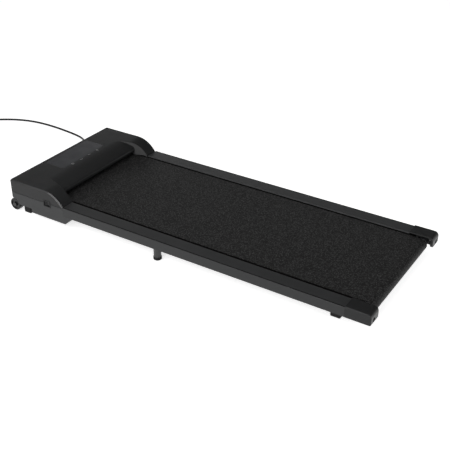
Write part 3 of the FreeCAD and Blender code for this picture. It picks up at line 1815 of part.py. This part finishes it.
def power_plug(end):
    """A moulded mains plug at the end of the lead, lying on the floor with its blades forward."""
    neck = size.plug_neck.value
    long = size.plug_length.value
    half = size.plug_width.value / 2
    deep = end.z
    base = FreeCAD.Vector(neck, -half, -deep)
    form = Part.makeBox(long, 2 * half, 2 * deep, base)
    form = form.makeFillet(size.plug_corner.value, form.Edges)
    cone = Part.makeCone(
        size.plug_neck_tip.value,
        size.plug_neck_radius.value,
        neck + size.plug_corner.value,
        FreeCAD.Vector(),
        ALONG,
    )
    item = solid_node("power_plug", form.fuse(cone).removeSplitter())
    turned(item, end)
    face = neck + long
    blade = FreeCAD.Vector(face, 0, size.blade_drop.value - size.blade_width.value / 2)
    blades = []
    for side in (-1, 1):
        blade.y = side * size.blade_spread.value / 2 - size.blade_thickness.value / 2
        sizes = (size.blade_length.value, size.blade_thickness.value, size.blade_width.value)
        blades.append(Part.makeBox(*sizes, blade))
    spot = FreeCAD.Vector(face, 0, -size.pin_drop.value)
    blades.append(Part.makeCylinder(size.pin_thickness.value, size.pin_length.value, spot, ALONG))
    item = solid_node("plug_blades", Part.makeCompound(blades))
    turned(item, end)


def power_lead():
    strain_relief()
    run = power_cord()
    wound = cord_coil()
    print("lead length", round(run + wound))


def check(items):
    """Stop before writing anything if an object failed or a sub-part isn't a sound solid."""
    for item in items:
        if "Invalid" in item.State or "Error" in item.State:
            raise RuntimeError(f"{item.Label} failed: {item.State}")
    for item in nodes:
        shape = item.Shape
        if shape.isNull() or not shape.isValid() or not shape.Solids:
            raise RuntimeError(f"{item.Label} isn't a sound solid")


def main():
    side_rails()
    end_plates()
    crossmembers()
    motor_tray()
    deck()
    deck_cushions()
    deck_screws()
    walking_belt()
    roller("front", size.front_roller_place)
    roller("rear", rear_roller_place)
    tension_bolts()
    pulleys()
    drive_belt()
    motor()
    motor_rotor()
    motor_bracket()
    controller()
    motor_cover()
    display_board()
    lower_housing()
    rail_covers()
    end_caps()
    transport_wheels()
    feet()
    power_switch()
    power_lead()
    doc.recompute()
    check(doc.Objects)
    os.makedirs("parts", exist_ok=True)
    for item in nodes:
        item.Shape.exportStep(f"parts/{item.Label}.step")
    print(len(nodes), "sub-parts")


main()
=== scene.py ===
"""Looks of the walking pad: materials for its solids, the printed marks, the lead and the studio."""
import json
import math

import bmesh
import bpy
from mathutils import Matrix, Vector

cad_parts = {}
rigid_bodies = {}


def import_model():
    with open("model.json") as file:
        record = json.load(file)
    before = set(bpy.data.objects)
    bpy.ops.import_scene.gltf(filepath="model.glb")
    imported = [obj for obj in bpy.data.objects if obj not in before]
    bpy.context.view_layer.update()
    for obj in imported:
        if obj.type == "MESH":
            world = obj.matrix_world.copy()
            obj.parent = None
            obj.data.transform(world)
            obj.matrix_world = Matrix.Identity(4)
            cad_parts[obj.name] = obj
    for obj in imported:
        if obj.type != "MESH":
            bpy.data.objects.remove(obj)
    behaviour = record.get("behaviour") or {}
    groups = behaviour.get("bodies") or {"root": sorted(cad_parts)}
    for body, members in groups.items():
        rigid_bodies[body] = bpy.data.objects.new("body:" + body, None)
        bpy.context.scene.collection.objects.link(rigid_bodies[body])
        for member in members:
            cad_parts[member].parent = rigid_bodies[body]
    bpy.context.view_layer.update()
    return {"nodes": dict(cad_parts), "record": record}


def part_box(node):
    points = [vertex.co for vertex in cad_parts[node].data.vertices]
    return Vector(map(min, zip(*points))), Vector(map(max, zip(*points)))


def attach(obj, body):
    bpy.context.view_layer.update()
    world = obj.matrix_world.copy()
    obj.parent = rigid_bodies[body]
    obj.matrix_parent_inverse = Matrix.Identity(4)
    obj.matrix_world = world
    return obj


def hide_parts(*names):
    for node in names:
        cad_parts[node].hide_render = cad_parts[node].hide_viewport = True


MM = 0.001
BODY = "pad_frame"
UP = Vector((0, 0, 1))

# Camera, fitted to the photograph's straight edges
PHOTO_WIDTH = 450
FOCAL_PIXELS = 831.7
SENSOR_WIDTH = 36
CAMERA_PLACE = Vector((1.1873, -1.8026, 1.2976))
CAMERA_AZIMUTH = math.radians(32.47)
CAMERA_ELEVATION = math.radians(30.68)

# Lead: the same route as the solid's, then its coil
CORD_DIAMETER = 7 * MM
CORD_ROUTE = [
    (-0.6340, 0.1900, 0.0400),
    (-0.6605, 0.1900, 0.0400),
    (-0.6955, 0.2080, 0.0330),
    (-0.7215, 0.2410, 0.0195),
    (-0.7495, 0.2730, 0.0075),
    (-0.7895, 0.2930, 0.0035),
    (-0.8605, 0.3030, 0.0035),
    (-0.9455, 0.3090, 0.0035),
    (-1.0265, 0.3040, 0.0035),
    (-1.0965, 0.2810, 0.0035),
    (-1.1535, 0.2420, 0.0048),
    (-1.1995, 0.2020, 0.0048),
]
COIL_RADIUS = 44 * MM
COIL_PITCH = 7.6 * MM
COIL_HALF_TURNS_IN = 4
COIL_HALF_TURNS_OUT = 3
COIL_POINTS_PER_HALF_TURN = 10
PLUG_LEAD = 22 * MM
LEAD_STEPS_ROUND = 5
LEAD_STEPS_ALONG = 6

# Studio
FLOOR_SIZE = 12
FLOOR_DROP = 0.2 * MM
FLOOR_LEVEL = 0.8
FLOOR_GLOW = 0.7
WORLD_STRENGTH = 0.3
BACKGROUND_WHITE = 1
CARD_SIZE = (12, 6)
CARD_PLACE = (-0.5, 3, 4.2)
CARD_LEAN = math.radians(10)
# Along the card and up it: the shares of its size where it is dark and light, and its glow there.
CARD_FADES = (("X", 0.5, 0.2, 0.12), ("Y", 0.28, 0.45, 0.2))
WING_EDGE = (-0.42, -0.235, 0.1)
# Name of a lamp, its two ends, its width, what it is turned to and its power
LAMPS = (
    ("side_panel", ((-2.2, -3.2, 1.3), (3.4, -3.2, 1.3)), 2.4, (0, 0, 0.05), 54),
    ("tail_panel", ((2.8, -1.6, 1.2), (2.8, 1.4, 1.2)), 1.8, (0.5, 0, 0), 20),
    ("overhead", ((-1.1, 0.1, 2.8), (1.3, 0.1, 2.8)), 1.4, (0.1, 0, 0), 8),
    ("edge_panel", ((-1.93, -1.25, 1.43), (-0.02, -1.54, 1.72)), 0.3, (-0.1, -0.235, 0.08), 3),
    ("upper_strip", ((-1.24, -1.54, 1.66), (0.07, -1.91, 1.44)), 0.06, WING_EDGE, 6),
    ("lower_strip", ((0.07, -1.91, 1.44), (0.91, -1.94, 0.49)), 0.06, WING_EDGE, 6),
)

# Materials: how far a pebble reaches from its middle, as a share of the grain
PEBBLE_EDGE_SHARE = 0.7
# Where the dark and the light tone stand in a noise's range
TONE_SHARES = (0.3, 0.7)
EDGE_SAMPLES = 8

# Printed marks on the cover, in the order in which they stand across it
MARK_ROW = -507 * MM
MARK_PLACES = [-48 * MM, -7 * MM, 33 * MM, 72 * MM]
MARK_RADIUS = 4.2 * MM
MARK_STROKE = 1.1 * MM
MARK_HEIGHT = 0.12 * MM
MARK_SINK = 0.05 * MM
ARC_STEPS = 20
WAVE_STEPS = 8
# Lengths in the marks, as shares of their radius
CLOCK_HAND_SHARE = 0.55
GAUGE_HAND_SHARES = (0.5, 0.4)
WAVE_HEIGHT_SHARE = 0.5
DROP_ROUND_SHARE = 0.7
DROP_TIP_SHARE = 1.4


# Materials


class Surface:
    """A Principled material whose nodes are added one by one."""

    def __init__(self, name, roughness, **inputs):
        self.material = bpy.data.materials.new(name)
        self.material.use_nodes = True
        self.nodes = self.material.node_tree.nodes
        self.shader = self.nodes["Principled BSDF"]
        self.shader.inputs["Roughness"].default_value = roughness
        for key, value in inputs.items():
            self.shader.inputs[key.replace("_", " ")].default_value = value
        self.place = self.nodes.new("ShaderNodeTexCoord").outputs["Object"]

    def link(self, output, target):
        self.material.node_tree.links.new(output, target)

    def noise(self, grain, detail=3, stretch=(1, 1, 1)):
        """Noise whose lumps are about grain metres across, drawn out along the axes by stretch."""
        mapping = self.nodes.new("ShaderNodeMapping")
        mapping.inputs["Scale"].default_value = [1 / value for value in stretch]
        self.link(self.place, mapping.inputs["Vector"])
        node = self.nodes.new("ShaderNodeTexNoise")
        node.inputs["Scale"].default_value = 1 / grain
        node.inputs["Detail"].default_value = detail
        self.link(mapping.outputs["Vector"], node.inputs["Vector"])
        return node.outputs["Fac"]

    def pebbles(self, grain):
        """Rounded lumps about grain metres across: 1 at their tops and 0 between them."""
        node = self.nodes.new("ShaderNodeTexVoronoi")
        node.feature = "SMOOTH_F1"
        node.inputs["Scale"].default_value = 1 / grain
        self.link(self.place, node.inputs["Vector"])
        height = self.nodes.new("ShaderNodeMapRange")
        height.inputs["From Max"].default_value = PEBBLE_EDGE_SHARE
        height.inputs["To Min"].default_value = 1
        height.inputs["To Max"].default_value = 0
        self.link(node.outputs["Distance"], height.inputs["Value"])
        return height.outputs["Result"]

    def ramp(self, value, stops):
        node = self.nodes.new("ShaderNodeValToRGB")
        while len(node.color_ramp.elements) < len(stops):
            node.color_ramp.elements.new(1)
        for element, (position, colour) in zip(node.color_ramp.elements, stops):
            element.position = position
            element.color = (*colour, 1)
        self.link(value, node.inputs["Fac"])
        return node.outputs["Color"]

    def colour(self, value, stops):
        self.link(self.ramp(value, stops), self.shader.inputs["Base Color"])

    def two_tone(self, value, dark, light):
        """The base colour, from dark to light over the middle of the value's range."""
        self.colour(value, list(zip(TONE_SHARES, (dark, light))))

    def roughness(self, value, low, high):
        node = self.nodes.new("ShaderNodeMapRange")
        node.inputs["To Min"].default_value = low
        node.inputs["To Max"].default_value = high
        self.link(value, node.inputs["Value"])
        self.link(node.outputs["Result"], self.shader.inputs["Roughness"])

    def relief(self, value, depth, edge=0):
        """A bump of that depth, over edges softened by a small radius."""
        node = self.nodes.new("ShaderNodeBump")
        node.inputs["Distance"].default_value = depth
        self.link(value, node.inputs["Height"])
        if edge:
            soft = self.nodes.new("ShaderNodeBevel")
            soft.samples = EDGE_SAMPLES
            soft.inputs["Radius"].default_value = edge
            self.link(soft.outputs["Normal"], node.inputs["Normal"])
        self.link(node.outputs["Normal"], self.shader.inputs["Normal"])


def grey(level, tint=0):
    """A grey of that level, bluer by the share tint."""
    return (level, level * (1 + tint / 2), level * (1 + tint))


def moulded(name, level, low=0.42, high=0.6, depth=0.05 * MM, edge=0.5 * MM, tint=0.06, **inputs):
    """Textured black plastic: fine grain, faint cloudiness and softened edges."""
    surface = Surface(name, roughness=high, **inputs)
    fine = surface.noise(0.9 * MM)
    cloud = surface.noise(60 * MM)
    surface.two_tone(fine, grey(level * 0.8, tint), grey(level * 1.2, tint))
    surface.roughness(cloud, low, high)
    surface.relief(fine, depth, edge)
    return surface.material


def satin():
    """The cover's plastic: the same fine grain under a thin polished skin."""
    return moulded(
        "cover_plastic",
        level=0.009,
        depth=0.03 * MM,
        edge=1.6 * MM,
        Specular_IOR_Level=0.1,
        Coat_Weight=0.36,
        Coat_Roughness=0.16,
    )


def ribbon():
    """The foot strips' extruded plastic, a little smoother and with sharp edges."""
    return moulded(
        "strip_plastic",
        level=0.02,
        low=0.3,
        high=0.42,
        edge=0.25 * MM,
        Specular_IOR_Level=0.28,
    )


def powder_coat(name, level):
    """Black powder paint with its orange-peel skin."""
    surface = Surface(name, roughness=0.45)
    peel = surface.noise(1.6 * MM, detail=1)
    cloud = surface.noise(40 * MM)
    surface.two_tone(cloud, grey(level * 0.85), grey(level * 1.15))
    surface.roughness(peel, low=0.36, high=0.5)
    surface.relief(peel, depth=0.05 * MM, edge=0.4 * MM)
    return surface.material


def belt_grain():
    """The walking belt: small pebbles, paler on their tops, and slow wear along the run."""
    surface = Surface("belt_grain", roughness=0.6, Specular_IOR_Level=0.16)
    pebbles = surface.pebbles(3.4 * MM)
    surface.colour(
        pebbles,
        [(0.14, grey(0.001)), (0.36, grey(0.005)), (0.57, grey(0.017)), (0.86, grey(0.045))],
    )
    surface.roughness(surface.noise(90 * MM, stretch=(4, 1, 1)), low=0.5, high=0.66)
    surface.relief(pebbles, depth=0.25 * MM)
    return surface.material


def smoked_window():
    """Polished smoked plastic, faintly blue, with the slight waviness of a moulded sheet."""
    surface = Surface("smoked_window", roughness=0.2, Specular_IOR_Level=0.3)
    wave = surface.noise(45 * MM, detail=1)
    surface.two_tone(wave, (0.034, 0.0345, 0.038), (0.044, 0.045, 0.049))
    surface.roughness(surface.noise(60 * MM, detail=1), low=0.18, high=0.24)
    surface.relief(wave, depth=0.005 * MM, edge=0.4 * MM)
    return surface.material


def metal(name, colour, low, high, stretch=(1, 1, 1), grain=0.8 * MM):
    """Bare metal with fine tool marks, drawn out along the way it was worked."""
    surface = Surface(name, roughness=high, Metallic=1.0)
    marks = surface.noise(grain, stretch=stretch)
    dark = tuple(0.8 * value for value in colour)
    surface.two_tone(marks, dark, colour)
    surface.roughness(marks, low, high)
    surface.relief(marks, depth=0.02 * MM, edge=0.25 * MM)
    return surface.material


def rubber(name, level, **inputs):
    """Matt rubber with a little dust on it."""
    surface = Surface(name, roughness=0.75, **inputs)
    fine = surface.noise(1.2 * MM, detail=5)
    dust = surface.noise(14 * MM)
    surface.colour(dust, [(0.35, grey(level * 0.8)), (0.75, grey(level * 1.35))])
    surface.roughness(fine, low=0.62, high=0.82)
    surface.relief(fine, depth=0.06 * MM, edge=0.6 * MM)
    return surface.material


def sheath():
    """The lead's satin jacket: smooth, with faint flow marks."""
    surface = Surface("lead_sheath", roughness=0.45, Specular_IOR_Level=0.1)
    flow = surface.noise(3 * MM)
    surface.two_tone(flow, grey(0.007), grey(0.012))
    surface.roughness(surface.noise(20 * MM), low=0.36, high=0.5)
    surface.relief(flow, depth=0.02 * MM)
    return surface.material


def fibreboard_with_painted_shade():
    """The deck's black waxed face, darker still as painted shade for the gap by the belt; faint fibres
    show through.
    """
    surface = Surface("fibreboard_with_painted_shade", roughness=0.8, Specular_IOR_Level=0.02)
    fibres = surface.noise(1.5 * MM, detail=6, stretch=(3, 3, 1))
    # Near-black tones: partly the board's black face, partly painted shade for the gap beside the belt.
    surface.two_tone(fibres, (0.0012, 0.0011, 0.001), (0.003, 0.0028, 0.0026))
    surface.relief(fibres, depth=0.05 * MM)
    return surface.material


def laminate():
    """A printed board: green mask with darker copper areas under it."""
    surface = Surface("board_mask", roughness=0.35)
    copper = surface.noise(6 * MM, detail=0)
    surface.colour(copper, [(0.48, (0.01, 0.09, 0.035)), (0.52, (0.02, 0.16, 0.06))])
    surface.relief(copper, depth=0.03 * MM)
    return surface.material


def printed():
    """Pale ink on the cover."""
    surface = Surface("pale_ink", roughness=0.6)
    ink = surface.noise(0.6 * MM)
    surface.two_tone(ink, grey(0.2), grey(0.3))
    surface.relief(ink, depth=0.01 * MM)
    return surface.material


def slot_materials():
    """One material for each of the record's slots."""
    return {
        "cover_black": satin(),
        "housing_black": moulded("housing_plastic", level=0.026, Specular_IOR_Level=0.35),
        "strip_black": ribbon(),
        "frame_paint": powder_coat("frame_powder", level=0.022),
        "deck_board": fibreboard_with_painted_shade(),
        "belt_black": belt_grain(),
        "roller_steel": metal(
            "turned_steel", (0.55, 0.56, 0.58), low=0.28, high=0.42, stretch=(1, 0.2, 1),
        ),
        "bearing_steel": metal("ground_steel", (0.6, 0.6, 0.62), low=0.2, high=0.32),
        "pulley_metal": metal(
            "turned_aluminium", (0.62, 0.62, 0.64), low=0.3, high=0.45, stretch=(1, 0.3, 1),
        ),
        "drive_rubber": rubber("drive_rubber", level=0.016),
        "motor_paint": powder_coat("motor_paint", level=0.03),
        "flywheel_iron": metal("flywheel_iron", (0.24, 0.24, 0.25), low=0.42, high=0.6),
        "board_green": laminate(),
        "sink_metal": metal(
            "extruded_aluminium", (0.66, 0.67, 0.69), low=0.32, high=0.46, stretch=(6, 1, 1),
        ),
        "capacitor_blue": moulded("capacitor_sleeve", level=0.05, tint=1.2),
        "window_gloss": smoked_window(),
        "foot_rubber": rubber("foot_rubber", level=0.009, Specular_IOR_Level=0.2),
        # The strips' rubber inlay: black rubber, made darker and duller still as painted shade for the
        # dark line along each strip's outer edge.
        "inlay_rubber": rubber("inlay_rubber", level=0.002, Specular_IOR_Level=0.02),
        "wheel_grey": moulded(
            "wheel_plastic", level=0.01, low=0.24, high=0.36, Specular_IOR_Level=0.3,
        ),
        "bolt_steel": metal("zinc_plate", (0.75, 0.75, 0.77), low=0.18, high=0.32),
        "switch_black": moulded(
            "switch_plastic", level=0.006, low=0.2, high=0.3, Specular_IOR_Level=0.2,
        ),
        "cord_black": sheath(),
        "tie_black": moulded("tie_plastic", level=0.02),
        "blade_metal": metal("nickel_plate", (0.78, 0.76, 0.7), low=0.16, high=0.28),
    }


def dress(frame, materials):
    """Give every solid the material of its slot."""
    for entry in frame["record"]["subparts"]:
        mesh = frame["nodes"][entry["node"]].data
        mesh.materials.clear()
        mesh.materials.append(materials[entry["material_slot"]])


# Lead


def coil_points():
    """Control points of the coil: half turns in on the floor, a climb, out on top, then to the plug."""
    here = Vector(CORD_ROUTE[-1])
    heading = here - Vector(CORD_ROUTE[-2])
    heading.z = 0
    heading.normalize()
    inward = UP.cross(heading)
    here = here + heading * CORD_DIAMETER
    radii = [COIL_RADIUS - COIL_PITCH / 2 * turn for turn in range(COIL_HALF_TURNS_IN + 1)]
    radii += [radii[-1] + COIL_PITCH / 2 * (turn + 1) for turn in range(COIL_HALF_TURNS_OUT)]
    step = math.pi / COIL_POINTS_PER_HALF_TURN
    swell = 1 / math.cos(step / 2)
    points = []
    side = 1
    for number, radius in enumerate(radii):
        climb = COIL_PITCH if number == COIL_HALF_TURNS_IN else 0
        across = inward * (2 * radius * side) + UP * climb
        bulge = heading * (side * across.length / 2 * swell)
        for index in range(COIL_POINTS_PER_HALF_TURN):
            angle = (index + 0.5) * step
            level = (1 - swell * math.cos(angle)) / 2
            points.append(here + across * level + bulge * math.sin(angle))
        here = here + across
        side = -side
    points.append(here + heading * CORD_DIAMETER)
    points.append(here + heading * PLUG_LEAD)
    return points


def lead(materials):
    """The mains lead and its coil as one smooth curve, in place of their solids."""
    curve = bpy.data.curves.new("lead", "CURVE")
    curve.dimensions = "3D"
    curve.bevel_depth = CORD_DIAMETER / 2
    curve.bevel_resolution = LEAD_STEPS_ROUND
    curve.resolution_u = LEAD_STEPS_ALONG
    curve.use_fill_caps = True
    points = [Vector(point) for point in CORD_ROUTE] + coil_points()
    spline = curve.splines.new("NURBS")
    spline.points.add(len(points) - 1)
    for target, point in zip(spline.points, points):
        target.co = (*point, 1)
    spline.order_u = 3
    spline.use_endpoint_u = True
    curve.materials.append(materials["cord_black"])
    piece = bpy.data.objects.new("lead", curve)
    bpy.context.scene.collection.objects.link(piece)
    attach(piece, BODY)
    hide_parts("power_cord", "cord_coil")


# Printed marks


def stroke(mesh, points, closed=False):
    """A flat printed line through points, with a little height so that it lies on the cover."""
    count = len(points)
    rows = []
    for index, point in enumerate(points):
        after = points[(index + 1) % count] if closed or index < count - 1 else point
        before = points[index - 1] if closed or index > 0 else point
        along = (after - before).normalized()
        side = Vector((-along.y, along.x, 0)) * (MARK_STROKE / 2)
        low = UP * -MARK_SINK
        high = UP * MARK_HEIGHT
        corners = (point - side + low, point + side + low, point + side + high, point - side + high)
        rows.append([mesh.verts.new(corner) for corner in corners])
    pairs = list(zip(rows, rows[1:]))
    if closed:
        pairs.append((rows[-1], rows[0]))
    for first, second in pairs:
        for corner in range(len(first)):
            after = (corner + 1) % len(first)
            mesh.faces.new((first[corner], first[after], second[after], second[corner]))
    if not closed:
        mesh.faces.new(reversed(rows[0]))
        mesh.faces.new(rows[-1])


def arc(centre, radius, start, end):
    """Points on an arc, its angles in degrees."""
    points = []
    for index in range(ARC_STEPS + 1):
        angle = math.radians(start + (end - start) * index / ARC_STEPS)
        points.append(centre + Vector((math.cos(angle), math.sin(angle), 0)) * radius)
    return points


def clock(mesh, centre):
    """A dial with two hands."""
    stroke(mesh, arc(centre, MARK_RADIUS, 0, 360)[:-1], closed=True)
    hand = MARK_RADIUS * CLOCK_HAND_SHARE
    stroke(mesh, [centre + Vector((0, hand, 0)), centre, centre + Vector((-hand, 0, 0))])


def gauge(mesh, centre):
    """An open dial with one hand."""
    stroke(mesh, arc(centre, MARK_RADIUS, -30, 210))
    hand = Vector((*GAUGE_HAND_SHARES, 0)) * MARK_RADIUS
    stroke(mesh, [centre, centre + hand])


def path(mesh, centre):
    """One wave of a winding way."""
    wave = []
    for index in range(WAVE_STEPS + 1):
        turn = 2 * math.pi * index / WAVE_STEPS
        spot = Vector((turn / math.pi - 1, WAVE_HEIGHT_SHARE * math.sin(turn), 0))
        wave.append(centre + spot * MARK_RADIUS)
    stroke(mesh, wave)


def drop(mesh, centre):
    """A drop with its tip up."""
    low = arc(centre, MARK_RADIUS * DROP_ROUND_SHARE, -200, 20)
    tip = centre + Vector((0, MARK_RADIUS * DROP_TIP_SHARE, 0))
    stroke(mesh, low + [tip], closed=True)


def marks():
    """Four small pictures under the window: time, speed, way and effort."""
    mesh = bmesh.new()
    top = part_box("motor_cover")[1].z
    turn = Matrix.Rotation(math.radians(-90), 4, "Z")
    for draw, y in zip((clock, gauge, path, drop), MARK_PLACES):
        start = len(mesh.verts)
        draw(mesh, Vector())
        mesh.verts.ensure_lookup_table()
        spot = Matrix.Translation(Vector((MARK_ROW, y, top)))
        for vert in mesh.verts[start:]:
            vert.co = spot @ turn @ vert.co
    bmesh.ops.recalc_face_normals(mesh, faces=mesh.faces)
    data = bpy.data.meshes.new("cover_marks")
    mesh.to_mesh(data)
    mesh.free()
    data.materials.append(printed())
    piece = bpy.data.objects.new("cover_marks", data)
    bpy.context.scene.collection.objects.link(piece)
    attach(piece, BODY)


# Studio


def sees_background(tree):
    """1 for rays that see the background's white: from the camera, off a mirror or through glass."""
    ray = tree.nodes.new("ShaderNodeLightPath")
    seen = ray.outputs["Is Camera Ray"]
    for name in ("Is Glossy Ray", "Is Transmission Ray"):
        either = tree.nodes.new("ShaderNodeMath")
        either.operation = "MAXIMUM"
        tree.links.new(seen, either.inputs[0])
        tree.links.new(ray.outputs[name], either.inputs[1])
        seen = either.outputs["Value"]
    return seen


def glow(tree, kind, strength):
    """A white light source of a world or a surface."""
    node = tree.nodes.new(kind)
    node.inputs["Color"].default_value = (1, 1, 1, 1)
    node.inputs["Strength"].default_value = strength
    return node.outputs[0]


def blend(tree, plain, white, output):
    """The plain shader for light that bounces, and the white one for rays that see the background."""
    mix = tree.nodes.new("ShaderNodeMixShader")
    tree.links.new(sees_background(tree), mix.inputs["Fac"])
    tree.links.new(plain, mix.inputs[1])
    tree.links.new(white, mix.inputs[2])
    tree.links.new(mix.outputs[0], output.inputs["Surface"])


def sheet(name, size, place):
    """A flat square for the studio, with an empty material."""
    bpy.ops.mesh.primitive_plane_add(size=size, location=place)
    plane = bpy.context.object
    plane.name = name
    material = bpy.data.materials.new(name)
    material.use_nodes = True
    material.node_tree.nodes.clear()
    plane.data.materials.append(material)
    return plane, material.node_tree


def matt(tree, level):
    """A matt surface of one grey."""
    node = tree.nodes.new("ShaderNodeBsdfDiffuse")
    node.inputs["Color"].default_value = (level, level, level, 1)
    return node.outputs[0]


def floor():
    """White paper: its own glow makes it white, and the lamps' light on it keeps the shadow."""
    tree = sheet("studio_floor", FLOOR_SIZE, (0, 0, -FLOOR_DROP))[1]
    paper = matt(tree, FLOOR_LEVEL)
    both = tree.nodes.new("ShaderNodeAddShader")
    tree.links.new(paper, both.inputs[0])
    tree.links.new(glow(tree, "ShaderNodeEmission", FLOOR_GLOW), both.inputs[1])
    blend(tree, paper, both.outputs[0], tree.nodes.new("ShaderNodeOutputMaterial"))


def dark_card():
    """A dark card that only the pad's reflections show, lighter at the motor's end and at its top."""
    card, tree = sheet("dark_card", 1, CARD_PLACE)
    card.scale = (*CARD_SIZE, 1)
    card.rotation_euler = (math.pi / 2, CARD_LEAN, 0)
    place = tree.nodes.new("ShaderNodeSeparateXYZ")
    tree.links.new(tree.nodes.new("ShaderNodeTexCoord").outputs["Generated"], place.inputs[0])
    both = tree.nodes.new("ShaderNodeMath")
    for index, (axis, dark, light, strength) in enumerate(CARD_FADES):
        fade = tree.nodes.new("ShaderNodeMapRange")
        fade.inputs["From Min"].default_value = dark
        fade.inputs["From Max"].default_value = light
        fade.inputs["To Max"].default_value = strength
        tree.links.new(place.outputs[axis], fade.inputs["Value"])
        tree.links.new(fade.outputs["Result"], both.inputs[index])
    shine = tree.nodes.new("ShaderNodeEmission")
    tree.links.new(both.outputs[0], shine.inputs["Strength"])
    output = tree.nodes.new("ShaderNodeOutputMaterial")
    tree.links.new(shine.outputs[0], output.inputs["Surface"])
    card.visible_camera = False
    card.visible_diffuse = False
    card.visible_shadow = False


def world():
    """Soft light from all round, and plain white where the background is seen."""
    scene = bpy.context.scene
    scene.world = bpy.data.worlds.new("studio")
    scene.world.use_nodes = True
    tree = scene.world.node_tree
    tree.nodes.clear()
    soft = glow(tree, "ShaderNodeBackground", WORLD_STRENGTH)
    white = glow(tree, "ShaderNodeBackground", BACKGROUND_WHITE)
    blend(tree, soft, white, tree.nodes.new("ShaderNodeOutputWorld"))


def area_light(name, ends, width, target, energy):
    """A lamp as long as the way between its ends, turned to its target."""
    start, end = (Vector(point) for point in ends)
    place = (start + end) / 2
    back = (place - Vector(target)).normalized()
    along = end - start
    along = (along - back * along.dot(back)).normalized()
    data = bpy.data.lights.new(name, "AREA")
    data.shape = "RECTANGLE"
    data.size = (end - start).length
    data.size_y = width
    data.energy = energy
    lamp = bpy.data.objects.new(name, data)
    turn = Matrix((along, back.cross(along), back)).transposed()
    lamp.matrix_world = Matrix.Translation(place) @ turn.to_4x4()
    bpy.context.scene.collection.objects.link(lamp)


def lights():
    """Soft panels beside and over the pad and at its tail, and strips that draw the near edges."""
    for name, ends, width, target, energy in LAMPS:
        area_light(name, ends, width, target, energy)


def camera():
    """The photograph's camera."""
    data = bpy.data.cameras.new("photo_camera")
    data.sensor_fit = "HORIZONTAL"
    data.sensor_width = SENSOR_WIDTH
    data.lens = FOCAL_PIXELS / PHOTO_WIDTH * SENSOR_WIDTH
    item = bpy.data.objects.new("photo_camera", data)
    level = math.cos(CAMERA_ELEVATION)
    ahead = Vector(
        (
            -math.sin(CAMERA_AZIMUTH) * level,
            math.cos(CAMERA_AZIMUTH) * level,
            -math.sin(CAMERA_ELEVATION),
        )
    )
    item.location = CAMERA_PLACE
    item.rotation_euler = ahead.to_track_quat("-Z", "Y").to_euler()
    bpy.context.scene.collection.objects.link(item)
    bpy.context.scene.camera = item


def main():
    for item in list(bpy.data.objects):
        bpy.data.objects.remove(item)
    bpy.context.scene.view_settings.view_transform = "Standard"
    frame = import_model()
    camera()
    materials = slot_materials()
    dress(frame, materials)
    lead(materials)
    marks()
    floor()
    dark_card()
    world()
    lights()


main()
